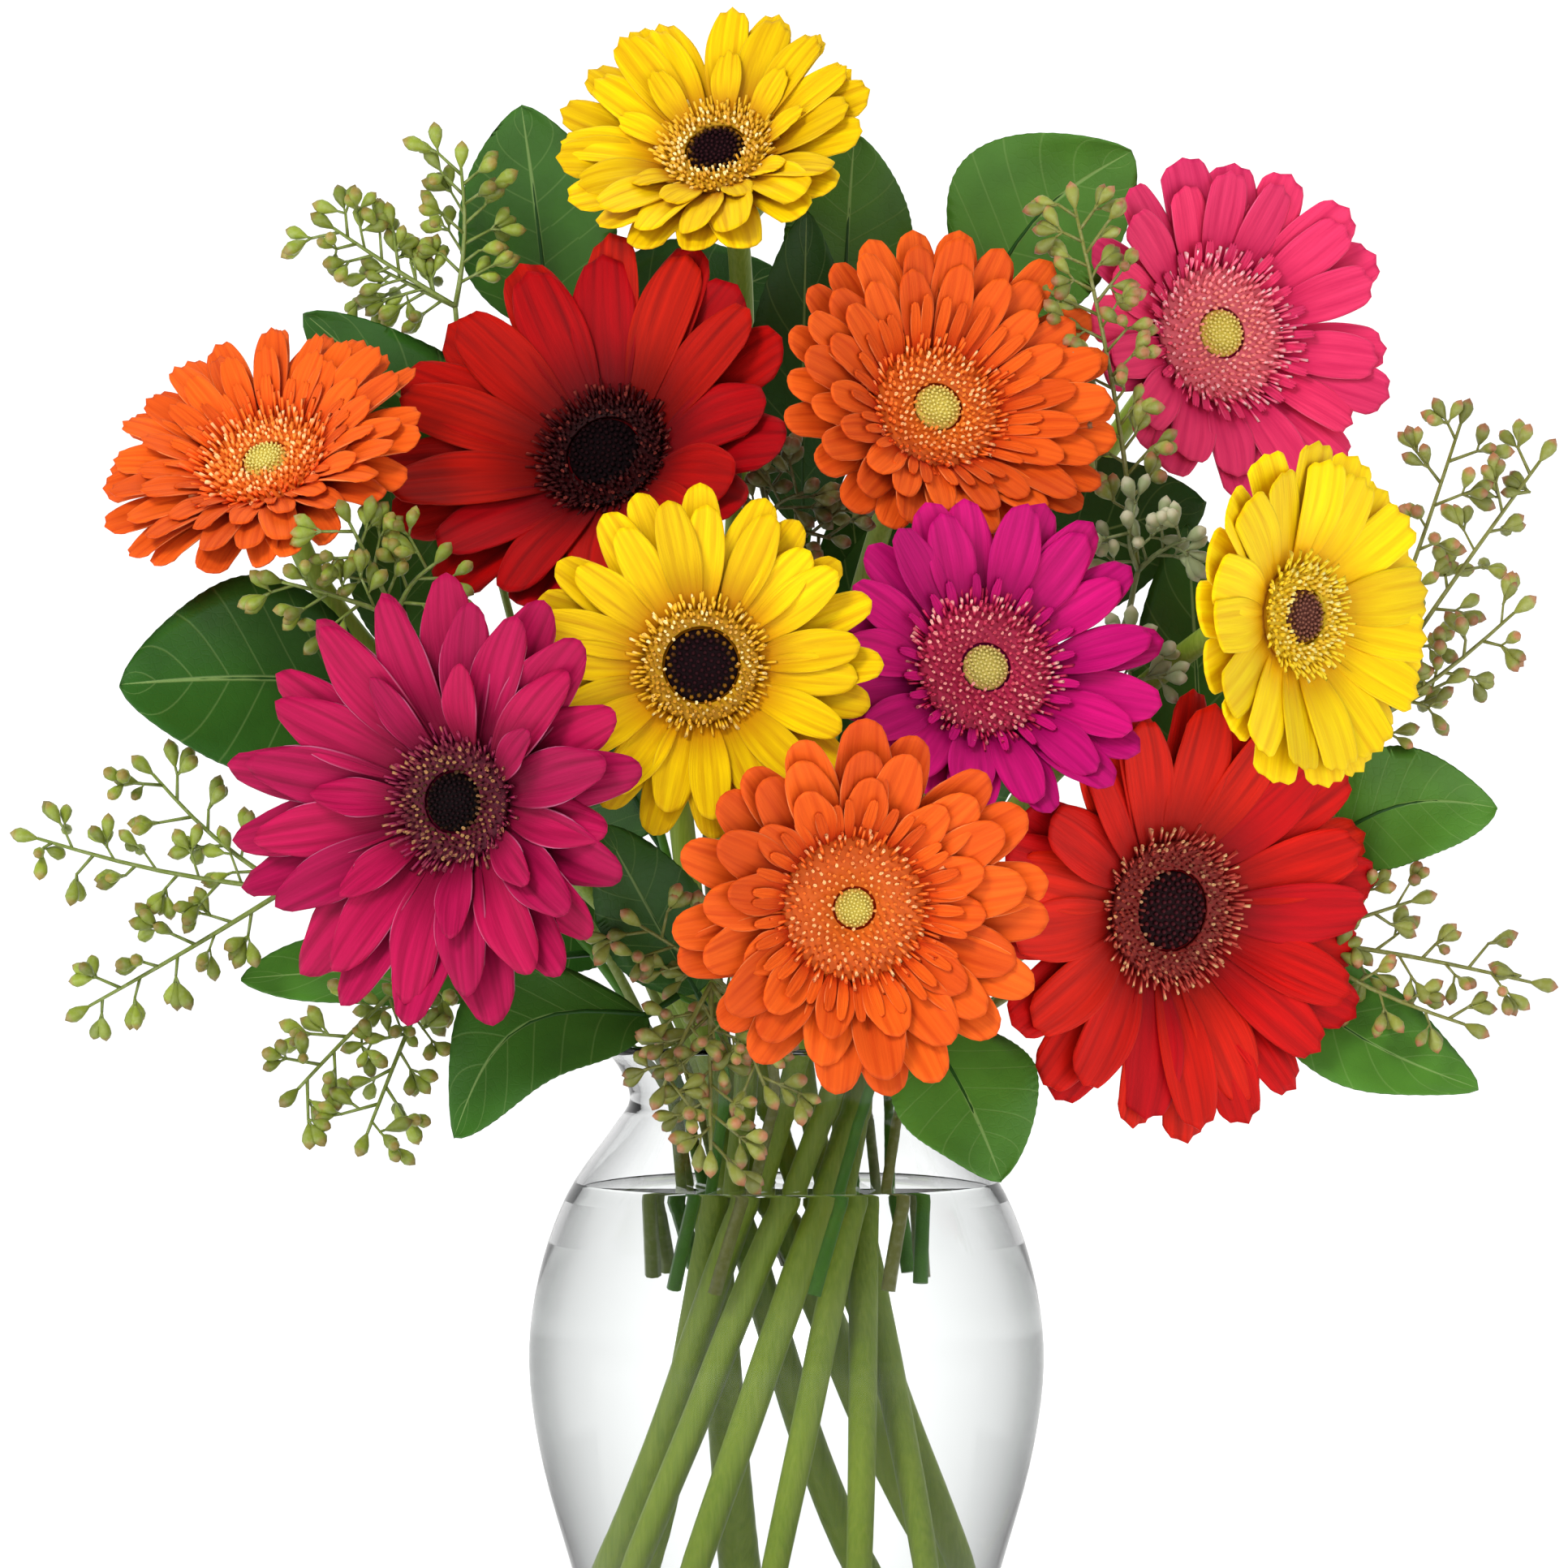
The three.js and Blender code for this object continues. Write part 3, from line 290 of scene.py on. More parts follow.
def grow_petal(bm, head, bloom, layer, angle, tone, draw):
    """Shapes one strap from a flat grid, across it from -1 to 1 and along it from root to tip."""
    _, share, width, root, more_rise = layer
    hub = bloom["disc"] * HUB_SHARE
    length = bloom["radius"] * share * draw.uniform(0.95, 1.02) - hub * 0.9
    rise = bloom["cup"] / (bloom["radius"] - hub) + more_rise + draw.uniform(-0.05, 0.05)
    half_width = width / 2 * draw.uniform(0.9, 1.06)
    loose = bloom["loose"]
    arch = length * draw.uniform(0.01, 0.06)
    droop = length * draw.uniform(0, 0.1) * loose
    twist, roll = draw.uniform(-0.3, 0.3) * loose, draw.uniform(-0.14, 0.14) * loose
    sway = length * draw.uniform(-0.06, 0.06) * loose
    out = Vector((cos(angle), sin(angle), 0))
    side = out.cross(UP)
    grid = bmesh.ops.create_grid(bm, x_segments=PETAL_COLUMNS, y_segments=PETAL_ROWS, size=1, calc_uvs=True)
    for vert in grid["verts"]:
        across = sin(vert.co.x * pi / 2)
        crease = (1 - cos(4 * pi * vert.co.x)) / 2 if abs(vert.co.x) < 0.5 else 0
        along = 1 - ((1 - vert.co.y) / 2) ** 1.2
        opened = min(along / PETAL_WIDEST, 1)
        beyond = max(0, (along - PETAL_WIDEST) / (1 - PETAL_WIDEST))
        half = half_width * (PETAL_ROOT_WIDTH + (1 - PETAL_ROOT_WIDTH) * sin(opened * pi / 2))
        half *= 1 - bloom["narrow"] * beyond ** 2
        rounding = half_width * bloom["point"] * (1 - sqrt(1 - 0.9 * across ** 2))
        reach = along * (length - rounding - TOOTH_DEPTH * bloom["teeth"] * crease)
        hollow = BOAT_DEPTH * half_width * bloom["boat"] * across ** 2 * sin(pi * along) ** 0.7
        lift = rise * reach + arch * sin(pi * along) - droop * along ** 3
        lift += hollow - RIB_DEPTH * half_width * crease * min(1, 4 * along)
        lift += across * half * (roll + twist * along)
        spot = out * (hub * 0.9 + reach) + side * (across * half + sway * along ** 2)
        vert.co = head @ (spot + UP * (root + lift))
        vert[tone_layer] = tone


def petal_finish(name, strap, root, rim):
    """Living petal: soft and matt with a faint velvet sheen, darker towards its root, partly its own deeper
    colour and partly painted shade where the petals overlap, with painted shade along its two creases,
    paler along its rim, and streaked along its length by fine parallel veins."""
    material, add = new_material(name)
    place = add("UVMap", uv_map="strap")
    parts = add("SeparateXYZ", [place])
    tone = add("Attribute", attribute_name="tone")
    vein_place = add("CombineXYZ", [parts, parts.outputs[1], tone])
    stretched = add("Mapping", {"Scale": (16, 1.1, 40), "Vector": vein_place})
    veins = add("TexNoise", {"Vector": stretched, "Scale": 1, "Detail": 4})
    # Partly painted shade: the strap darkens towards its root colour near the root, where the petals
    # overlap, on top of the petal's own deeper colour there
    root_tint_and_painted_shade = add("MapRange", [parts.outputs[1], 0.02, 0.55, 0.95, 0], **SMOOTH)
    off_middle = add("Math", [parts, 0.5], operation="SUBTRACT")
    to_edge = add("Math", [off_middle], operation="ABSOLUTE")
    at_edge = add("MapRange", [to_edge, 0.43, 0.5, 0, 0.8], **SMOOTH)
    near_tip = add("MapRange", [parts.outputs[1], 0.25, 0.75, 0, 1])
    rimmed = add("Math", [at_edge, near_tip], operation="MULTIPLY")
    # Painted shade: the two creases of each strap are darkened towards the root colour, broken up by the
    # vein noise
    from_crease = add("Math", [to_edge, 0.125], operation="SUBTRACT")
    to_crease = add("Math", [from_crease], operation="ABSOLUTE")
    crease = add("MapRange", [to_crease, 0, 0.08, 0.6, 0], **SMOOTH)
    painted_crease_shade = add("Math", [crease, veins], operation="MULTIPLY")
    painted_shade_and_root_tint = add("Math", [painted_crease_shade, root_tint_and_painted_shade], operation="MAXIMUM")
    root_tinted_and_shaded = add("Mix", [painted_shade_and_root_tint, linear(strap), linear(root)])
    edged = add("Mix", [rimmed, root_tinted_and_shaded, linear(rim)])
    streak = add("MapRange", [veins, 0.35, 0.7, 0, 0.45])
    streaked = add("Mix", [streak, edged, linear(root)])
    shade = add("MapRange", [tone, 0, 1, 0.8, 1.06])
    hue = add("MapRange", [tone, 0, 1, 0.4975, 0.502])
    toned = add("HueSaturation", {"Hue": hue, "Value": shade, "Color": streaked})
    relief = add("Bump", {"Strength": 0.5, "Distance": STREAK_WIDTH, "Height": veins})
    petal = add("BsdfPrincipled", {
        "Roughness": 0.58, "Specular IOR Level": 0.14, "Sheen Weight": 0.02, "Sheen Roughness": 0.4,
        "Base Color": toned, "Normal": relief,
    })
    add("OutputMaterial", [petal])
    return material


petal_finishes = {}
for variety, (strap, root, rim, under, _) in VARIETIES.items():
    petal_finishes[variety] = [
        petal_finish(f"{variety}_petal", strap, root, rim),
        petal_finish(f"{variety}_petal_underside", under, root, under),
    ]
for name, bloom, draw, head in blooms(101):
    bm = bmesh.new()
    bm.loops.layers.uv.new("strap")
    tone_layer = bm.verts.layers.float.new("tone")
    for number, layer in enumerate(bloom["layers"]):
        for petal in range(layer[0]):
            angle = (petal + 0.5 * number + draw.uniform(-0.22, 0.22)) / layer[0] * tau
            grow_petal(bm, head, bloom, layer, angle, draw.random(), draw)
    hub = bloom["disc"] * HUB_SHARE
    middle = Matrix.Translation((0, 0, (HUB_TOP - HUB_DEPTH) / 2))
    bmesh.ops.create_cone(
        bm, cap_ends=True, segments=HUB_STEPS, radius1=hub * 0.86, radius2=hub, depth=HUB_TOP + HUB_DEPTH,
        matrix=head @ middle,
    )
    finishes, slot = petal_finishes[bloom["variety"]], VARIETIES[bloom["variety"]][-1]
    piece = new_piece(f"{name}_ray_petals", bm, finishes, f"{name}_petals", slot)
    skin = piece.modifiers.new("thickness", "SOLIDIFY")
    skin.thickness = PETAL_THICKNESS
    skin.offset = -1
    skin.material_offset = 1

# Disc florets are the small tubes that fill the ring round the eye. Those at the outside are longest
# and lean out, and their tips are paler: each is a tube that opens at its end.
# inner, outer, tips: colours. most: where the pale tips are, from the eye (0) to the rim (1).
# count, short, long: florets, and the length of those by the eye and at the rim.
FLORETS = table("inner outer tips most count short long slot", {
    "yellow": ("C88C1C", "F0BC20", "FFF4B8", 0.05, 300, 0.0018, 0.003, "gold_floret"),
    "lemon": ("F4C428", "FFE020", "FFF4A0", 0.2, 270, 0.0018, 0.003, "gold_floret"),
    "orange": ("F08C30", "FC580C", "FFDCA0", 0.25, 380, 0.0016, 0.006, "orange_floret"),
    "deep_red": ("160406", "40070B", "8C3A30", 1.2, 360, 0.0018, 0.0032, "maroon_floret"),
    "red": ("6C1A1C", "C8443A", "F8CC90", 1, 400, 0.0018, 0.0036, "maroon_floret"),
    "raspberry": ("3A240C", "901C4A", "B88C58", 0.35, 330, 0.0018, 0.0044, "brown_floret"),
    "magenta": ("C44058", "C40E54", "FCC4B4", 0.5, 390, 0.0016, 0.0042, "pink_floret"),
    "pink": ("F49484", "FC4484", "FFD4D4", 0.65, 400, 0.0016, 0.005, "pink_floret"),
})
GAP = 0.0003
GOLDEN_ANGLE = pi * (3 - sqrt(5))
FLORET_SIDES = 5
FLORET_RADIUS = 0.0003
FLORET_LIP = 0.8
DISC_BED = 0.0012


def floret_finish(variety, colours):
    """Disc florets: waxy little tubes, one colour by the eye and another at the rim. Some have pale
    mouths, so that the disc looks stippled. Painted shade darkens them towards their feet, deep in the
    disc, and painted light brightens their mouths a little."""
    material, add = new_material(f"{variety}_disc_floret")
    place = add("Attribute", attribute_name="place")
    along = add("Attribute", attribute_name="along")
    body = add("Mix", [place, linear(colours["inner"]), linear(colours["outer"])])
    from_most = add("Math", [place, colours["most"]], operation="SUBTRACT")
    away = add("Math", [from_most], operation="ABSOLUTE")
    ring = add("MapRange", [away, 0, 0.5, 0.62, 0.2])
    tone = add("Attribute", attribute_name="tone")
    luck = add("Math", [ring, tone])
    chance = add("MapRange", [luck, 0.9, 1.25, 0.05, 0.9])
    mouth = add("MapRange", [along, 0.55, 1, 0, 1], **SMOOTH)
    pale = add("Math", [chance, mouth], operation="MULTIPLY")
    tipped = add("Mix", [pale, body, linear(colours["tips"])])
    # Painted shade and light: each floret, and the bed between them, is darker towards its foot, deep in the
    # disc, and a little lighter at its mouth
    depth = add("MapRange", [along, 0.1, 0.8, 0.6, 1.15])
    painted_depth_shaded = add("HueSaturation", {"Value": depth, "Color": tipped})
    floret = add("BsdfPrincipled", {"Roughness": 0.5, "Specular IOR Level": 0.2, "Base Color": painted_depth_shaded})
    add("OutputMaterial", [floret])
    return material


def plant_bud(bm, matrix, radius, mouth, length, place):
    """One closed bud that stands at the origin of its matrix."""
    bud = bmesh.ops.create_cone(
        bm, cap_ends=True, segments=FLORET_SIDES, radius1=radius, radius2=mouth, depth=length,
        matrix=Matrix.Translation((0, 0, length / 2)),
    )["verts"]
    for vert in bud:
        vert[along_layer] = round(vert.co.z / length)
        vert[place_layer] = place
    bmesh.ops.transform(bm, matrix=matrix, verts=bud)
    return bud


def faces_of(verts):
    """Faces that meet at any of some vertices."""
    return list({face for vert in verts for face in vert.link_faces})


def plant_floret(bm, matrix, mouth, length, place, lip, tone):
    """One open tube: a bud whose mouth is hollow, and drawn out on one side into a lip."""
    tube = plant_bud(bm, Matrix(), FLORET_RADIUS, mouth, length, place)
    ends = [face for face in faces_of(tube) if len(face.verts) == FLORET_SIDES]
    opening = max(ends, key=lambda face: face.calc_center_median().z)
    for vert in opening.verts:
        vert.co += Vector((1, 0, 0.6)) * max(0, vert.co.x) * lip
    bmesh.ops.inset_individual(bm, faces=[opening], thickness=mouth * 0.3, depth=-length * 0.15)
    for vert in opening.verts:
        vert[along_layer] = 0.85
        vert[place_layer] = place
    for vert in [*tube, *opening.verts]:
        vert[tone_layer] = tone
    bmesh.ops.transform(bm, matrix=matrix, verts=[*tube, *opening.verts])


floret_finishes = {variety: floret_finish(variety, colours) for variety, colours in FLORETS.items()}
for name, bloom, draw, head in blooms(301):
    kind = FLORETS[bloom["variety"]]
    inner, base = bloom["eye"] + 2 * GAP, HUB_TOP + GAP
    bm = bmesh.new()
    along_layer = bm.verts.layers.float.new("along")
    place_layer = bm.verts.layers.float.new("place")
    tone_layer = bm.verts.layers.float.new("tone")
    bed = [
        (inner, base), (bloom["disc"] * 0.9, base), (bloom["disc"] * 0.86, base + DISC_BED * 0.6),
        (inner, base + DISC_BED), (inner, base),
    ]
    turn_profile(bm, [Vector((x, 0, z)) for x, z in bed], HUB_STEPS)
    bmesh.ops.transform(bm, matrix=head, verts=bm.verts)
    # The bed gets the florets' painted shade of their lower parts
    for vert in bm.verts:
        vert[along_layer] = 0.25
        vert[place_layer] = 0.5
    for number in range(kind["count"]):
        place = (number + 0.5) / kind["count"]
        radius = sqrt(inner ** 2 + place * ((bloom["disc"] * 0.94) ** 2 - inner ** 2))
        angle = number * GOLDEN_ANGLE + draw.uniform(-0.04, 0.04)
        lean = radians(-16 + 72 * place ** 0.8 + draw.uniform(-16, 16) * (0.4 + place))
        length = kind["short"] + (kind["long"] - kind["short"]) * place ** 1.6
        length = length * draw.uniform(0.6, 1.25) + DISC_BED / 2
        spot = Matrix.Rotation(angle, 4, "Z") @ Matrix.Translation((radius, 0, base + DISC_BED / 2))
        twist = Matrix.Rotation(draw.uniform(-0.9, 0.9), 4, "Z")
        matrix = head @ spot @ Matrix.Rotation(lean, 4, "Y") @ twist
        mouth = FLORET_RADIUS * draw.uniform(0.8, 1.4)
        lip = FLORET_LIP * draw.uniform(0, 1 + place)
        plant_floret(bm, matrix, mouth, length, place, lip, draw.random())
    finish = floret_finishes[bloom["variety"]]
    new_piece(f"{name}_disc_florets", bm, [finish], f"{name}_florets", kind["slot"])

# The eye is the low dome of unopened florets in the middle of the disc, packed in spirals.
# It is almost black in the yellow, red and raspberry flowers, and pale green in the others.
EYE_RISE = 0.0024
EYE_BUDS = 90
EYE_STEPS = 24
EYES = {
    "yellow": ("14060A", "2C1016", "dark_eye"), "lemon": ("5A3028", "8A5848", "dark_eye"),
    "deep_red": ("0C0406", "1C080C", "dark_eye"), "red": ("1C060A", "44161E", "dark_eye"),
    "raspberry": ("0C0406", "1C0A0E", "dark_eye"), "orange": ("C8B450", "E8DC80", "green_eye"),
    "magenta": ("BCAC58", "DCCE80", "green_eye"), "pink": ("CCB850", "ECDC80", "green_eye"),
}


def eye_finish(variety, pit, bud):
    """Unopened florets: matt and close as suede, each bud lighter than the gap round it, and those at
    the rim on their way to the colour of the open ones."""
    material, add = new_material(f"{variety}_eye_buds")
    along = add("Attribute", attribute_name="along")
    colour = add("Mix", [along, linear(pit), linear(bud)])
    place = add("Attribute", attribute_name="place")
    to_rim = add("MapRange", [place, 0.6, 1, 0, 0.5], **SMOOTH)
    blended = add("Mix", [to_rim, colour, linear(FLORETS[variety]["inner"])])
    bud_shader = add("BsdfPrincipled", {
        "Roughness": 0.75, "Specular IOR Level": 0.12, "Base Color": blended,
    })
    add("OutputMaterial", [bud_shader])
    return material


eye_finishes = {variety: eye_finish(variety, pit, bud) for variety, (pit, bud, _) in EYES.items()}
for name, bloom, draw, head in blooms(401):
    eye, base = bloom["eye"], HUB_TOP + GAP
    bm = bmesh.new()
    along_layer = bm.verts.layers.float.new("along")
    place_layer = bm.verts.layers.float.new("place")
    dome = smooth_line([
        (eye, base), (eye * 0.94, base + EYE_RISE * 0.4), (eye * 0.6, base + EYE_RISE * 0.72),
        (eye * 0.25, base + EYE_RISE * 0.66), (0, base + EYE_RISE * 0.6),
    ], 3)
    turn_profile(bm, [UP * base, *dome], EYE_STEPS)
    bmesh.ops.transform(bm, matrix=head, verts=bm.verts)
    for number in range(EYE_BUDS):
        place = (number + 0.5) / EYE_BUDS
        height = base + EYE_RISE * (0.5 + 0.2 * sin(pi * place) - 0.3 * place ** 6)
        spot = Matrix.Rotation(number * GOLDEN_ANGLE, 4, "Z")
        spot = spot @ Matrix.Translation((eye * 0.93 * sqrt(place), 0, height))
        matrix = head @ spot @ Matrix.Rotation(radians(30) * place, 4, "Y")
        size = eye * 0.075
        plant_bud(bm, matrix, size, size * 0.6, EYE_RISE * draw.uniform(0.3, 0.42), place)
    finish, slot = eye_finishes[bloom["variety"]], EYES[bloom["variety"]][-1]
    new_piece(f"{name}_eye_dome", bm, [finish], f"{name}_eye", slot)

# Each gerbera stem is a leafless, softly ribbed green tube, about 6 mm thick, with a fine down on it.
# It stands upright on the vase's floor, leans in to cross the others under the neck, bends to its head,
# and opens there into a cup of narrow green bracts.
CROSSING_HEIGHT = 0.119
CROSSING_RADIUS = 0.0145
BUNDLE_SLOPE = 0.285
SPREAD_HEIGHT = 0.042
SPREAD_DRIFT = 0.0324
SPREAD_BEND = (0.5, 0.14)
SPREAD_STEPS = 6
FOOT_HEIGHT = 0.00825
NECK_HEIGHT = 0.16
STEM_SIDES = 14
STEM_STEPS = 26
NECK_BEND = 0.36
HEAD_BEND = 0.2
HEAD_SAG = 0.1
CALYX_DEPTH = 0.015
BRACTS = 15
BRACT_LENGTH = 0.012
BRACT_WIDTH = 0.0036
BRACT_THICKNESS = 0.0005


def beside_ring(radius, drift, place, height):
    """Point at a height beside a ring, drifted off along its tangent from a place round it."""
    x, y = cos(radians(place)), sin(radians(place))
    return Vector((radius * x - drift * y, radius * y + drift * x, height))


def bundle_point(radius, slope, place, height):
    """Point at a height of a straight stem that is nearest the axis at the crossing."""
    return beside_ring(radius, slope * (height - CROSSING_HEIGHT), place, height)


def ring_place(radius, slope, bearing):
    """Place round the crossing ring of a stem that passes the neck at a bearing."""
    return bearing - degrees(atan(slope * (NECK_HEIGHT - CROSSING_HEIGHT) / radius))


def run_stem(bm, path, radii, sides):
    """A round stem: a circle extruded from point to point of a path, and closed at both ends."""
    along = [(b - a).normalized() for a, b in zip(path, path[1:])]
    along.append(along[-1])
    turned = along[0].to_track_quat("Z", "Y")
    before = Matrix.Translation(path[0]) @ turned.to_matrix().to_4x4()
    ring = bmesh.ops.create_circle(bm, cap_ends=True, segments=sides, radius=radii[0], matrix=before)
    edges = list({edge for vert in ring["verts"] for edge in vert.link_edges})
    for k in range(1, len(path)):
        grown = bmesh.ops.extrude_edge_only(bm, edges=edges)["geom"]
        verts = [item for item in grown if isinstance(item, bmesh.types.BMVert)]
        edges = [item for item in grown if isinstance(item, bmesh.types.BMEdge)]
        turned = along[k - 1].rotation_difference(along[k]) @ turned
        here = Matrix.Translation(path[k]) @ turned.to_matrix().to_4x4()
        size = Matrix.Scale(radii[k] / radii[k - 1], 4)
        bmesh.ops.transform(bm, matrix=here @ size @ before.inverted(), verts=verts)
        before = here
    bmesh.ops.contextual_create(bm, geom=edges)


def stem_finish():
    """Fresh green stem: satin, with fine long ribs and a paler, yellower green where it is young."""
    material, add = new_material("gerbera_stem_skin")
    place = add("TexCoord")
    long_ribs = add("Mapping", {"Scale": (1600, 1600, 60), "Vector": place})
    ribs = add("TexNoise", {"Vector": long_ribs, "Scale": 1, "Detail": 3})
    patches = add("TexNoise", {"Vector": place, "Scale": 45, "Detail": 2})
    green = add("Mix", [patches, linear("5E7F18"), linear("8AA02E")])
    faint = add("MapRange", [ribs, 0.3, 0.7, 0, 0.35])
    ribbed = add("Mix", [faint, green, linear("A8B64C")])
    relief = add("Bump", {"Strength": 0.4, "Distance": 0.0004, "Height": ribs})
    skin = add("BsdfPrincipled", {
        "Roughness": 0.45, "Specular IOR Level": 0.45, "Sheen Weight": 0.1, "Sheen Roughness": 0.3,
        "Base Color": ribbed, "Normal": relief,
    })
    add("OutputMaterial", [skin])
    return material


def curve_point(corners, t):
    """Point of a four-point curve."""
    a, b, c, d = corners
    return a * (1 - t) ** 3 + b * 3 * t * (1 - t) ** 2 + c * 3 * t ** 2 * (1 - t) + d * t ** 3


stem_skin = stem_finish()
for name, bloom, draw, head in blooms(501):
    facing = head.to_3x3() @ UP
    place = ring_place(CROSSING_RADIUS, BUNDLE_SLOPE, bloom["bearing"])
    foot = bundle_point(CROSSING_RADIUS, BUNDLE_SLOPE, place, FOOT_HEIGHT)
    neck = bundle_point(CROSSING_RADIUS, BUNDLE_SLOPE, place, NECK_HEIGHT)
    spread = beside_ring(CROSSING_RADIUS, -SPREAD_DRIFT, place, SPREAD_HEIGHT)
    low = -HUB_DEPTH - GAP - CALYX_DEPTH
    top = head @ (UP * low)
    span = (top - neck).length
    corners = (
        neck, neck + (neck - foot).normalized() * span * NECK_BEND,
        top - facing * span * HEAD_BEND - UP * (span * HEAD_SAG), top,
    )
    bend = (spread.lerp(foot, SPREAD_BEND[0]), spread, spread, spread.lerp(neck, SPREAD_BEND[1]))
    path = [foot] + [curve_point(bend, step / SPREAD_STEPS) for step in range(SPREAD_STEPS + 1)]
    path += [bend[-1].lerp(neck, step / 4) for step in (1, 2, 3)]
    path += [curve_point(corners, step / STEM_STEPS) for step in range(STEM_STEPS + 1)]
    bm = bmesh.new()
    run_stem(bm, path, [bloom["stem"]] * len(path), STEM_SIDES)
    hub = bloom["disc"] * HUB_SHARE
    cup = smooth_line([
        (0, low - 0.001), (bloom["stem"], low), (hub * 0.5, low + CALYX_DEPTH * 0.2),
        (hub * 0.8, low + CALYX_DEPTH * 0.5), (hub * 0.95, low + CALYX_DEPTH * 0.98),
    ], 4)
    calyx = bmesh.new()
    turn_profile(calyx, [*cup, UP * (low + CALYX_DEPTH)], HUB_STEPS)
    for row in range(2):
        for number in range(BRACTS):
            angle = (number + row / 2 + draw.uniform(-0.2, 0.2)) / BRACTS * tau
            out = Vector((cos(angle), sin(angle), 0))
            side = Vector((-out.y, out.x, 0))
            start = 0.25 + 0.2 * row
            length = BRACT_LENGTH * draw.uniform(0.85, 1.1)
            bract = bmesh.ops.create_grid(calyx, x_segments=2, y_segments=5, size=1)["verts"]
            for vert in bract:
                along = (vert.co.y + 1) / 2
                wide = BRACT_WIDTH / 2 * sqrt(max(0, 1 - along ** 2)) + 0.0002
                height = low + CALYX_DEPTH * start + length * along * 0.85
                bulge = hub * (0.62 + 0.36 * min(1, start + along * 0.7)) + 0.0012 + 0.0016 * along ** 3
                bend = 0.0004 * (1 - vert.co.x ** 2)
                vert.co = out * (bulge + bend) + side * vert.co.x * wide + UP * height
            bmesh.ops.solidify(calyx, geom=faces_of(bract), thickness=BRACT_THICKNESS)
    bmesh.ops.transform(calyx, matrix=head, verts=calyx.verts)
    cup_mesh = make_mesh("calyx", calyx)
    bm.from_mesh(cup_mesh)
    bpy.data.meshes.remove(cup_mesh)
    bmesh.ops.recalc_face_normals(bm, faces=bm.faces)
    new_piece(f"{name}_green_stem", bm, [stem_skin], f"{name}_stem", "stem")

# Lemon leaf, or salal: a leafy woody twig with broad oval leathery leaves. Each leaf has a short red-green
# stalk, a pale midrib, curved side veins and a very finely toothed edge that waves.
# Leaves: the point of the route that each grows from, its tip, the way its upper face looks, its width,
# its arch, its sway and its tone, from dark (0) to fresh green (1). Lengths are in millimetres.
LEMON_LEAF = table("bearing route leaves", {
    "lemon_leaf_left": (156, [(-48, 8, 196), (-74, -4, 226), (-92, -10, 262)],
        [(2, (-162, -26, 262), (-0.3, -1, 0.3), 53, 5, 0, 0.15),
         (0, (-134, -6, 190), (-0.3, -0.8, 0.6), 30, 4, -3, 0.6),
         (1, (-92, 48, 258), (-0.4, 0.9, 0.2), 36, 4, 0, 0.4),
         (2, (-97, 14, 312), (-0.1, -1, 0.1), 26, 3, 0, 0.2)]),
    "lemon_leaf_upper_left": (130, [(-30, 28, 220), (-50, 26, 290), (-58, 20, 342)],
        [(1, (-119, 2, 354), (-0.2, -0.9, 0.5), 36, 4, 0, 0.2),
         (2, (-66, 20, 407), (-0.1, -1, 0.1), 42, -4, 0, 0.4),
         (0, (-58, 62, 262), (-0.2, 0.9, 0.5), 38, 5, 0, 0.3),
         (0, (-76, 24, 196), (-0.1, -1, 0.1), 36, 2, 0, 0.1),
         (2, (-2, 56, 368), (-0.1, -1, 0.1), 38, 2, 0, 0.15)]),
    "lemon_leaf_top": (96, [(0, 34, 225), (4, 36, 290), (14, 28, 345)],
        [(2, (17, 20, 400), (0.1, -1, 0.1), 34, -4, 0, 0.6),
         (1, (5, 8, 380), (-0.1, -1, 0.3), 30, 3, 0, 0.1), (0, (4, 66, 285), (0, 1, 0.3), 42, 5, 0, 0.4),
         (0, (40, 22, 318), (0.1, -1, 0.1), 34, 2, 0, 0.1)]),
    "lemon_leaf_upper_right": (62, [(24, 34, 225), (40, 38, 290), (42, 32, 350)],
        [(2, (86, 22, 396), (0.1, -1, 0.2), 48, -4, -6, 0.7),
         (1, (82, 73.2, 302), (0.4, 0.9, 0.2), 36, 4, 0, 0.4),
         (1, (104, 13, 308), (0.1, -1, 0.1), 42, 3, 0, 0.1),
         (0, (62, 60, 250), (0.3, 0.9, 0.4), 38, 5, 0, 0.3),
         (0, (16, 40, 312), (0.1, -1, 0.1), 32, 2, 0, 0.1)]),
    "lemon_leaf_right": (24, [(62, 14, 190), (104, 8, 206), (126, 0, 222)],
        [(2, (174, -12, 232), (0.2, -1, 0.2), 31, 3, -5, 0.9),
         (1, (170, -6, 163), (0.2, -0.9, 0.4), 33, 4, 8, 0.8),
         (0, (96, 56, 214), (0.4, 0.9, 0.3), 34, 4, 0, 0.4),
         (1, (99, 4, 302), (0.1, -1, 0.1), 38, 3, 0, 0.15)]),
    "lemon_leaf_front_left": (-122, [(-18, -34, 181), (-26, -46, 187)],
        [(1, (-79, -64, 154), (-0.1, -0.95, 0.35), 35, 4, 13, 0.3),
         (0, (-44, -46, 228), (-0.1, -1, 0.1), 28, 3, 0, 0.2)]),
    "lemon_leaf_front_right": (-48, [(26, -36, 181), (31, -48, 184)],
        [(1, (51, -68, 144), (0.1, -0.85, 0.5), 38, 4, 0, 0.8)]),
})
GREENS_RADIUS = 0.0255
GREENS_SLOPE = 0.285
GREENS_FOOT = 0.112
GREENS_STEM = 0.0015
TWIG = 0.00065
GREENS_SIDES = 8
GREENS_STEPS = 5
GREENS_TONE = 0.8
LEAF_COLUMNS = 8
LEAF_ROWS = 48
LEAF_THICKNESS = 0.00045
LEAF_FOLD = 0.16
LEAF_WAVE = 0.001
LEAF_TEETH = 24
LEAF_TOOTH = 0.00035
STALK_SHARE = 0.14
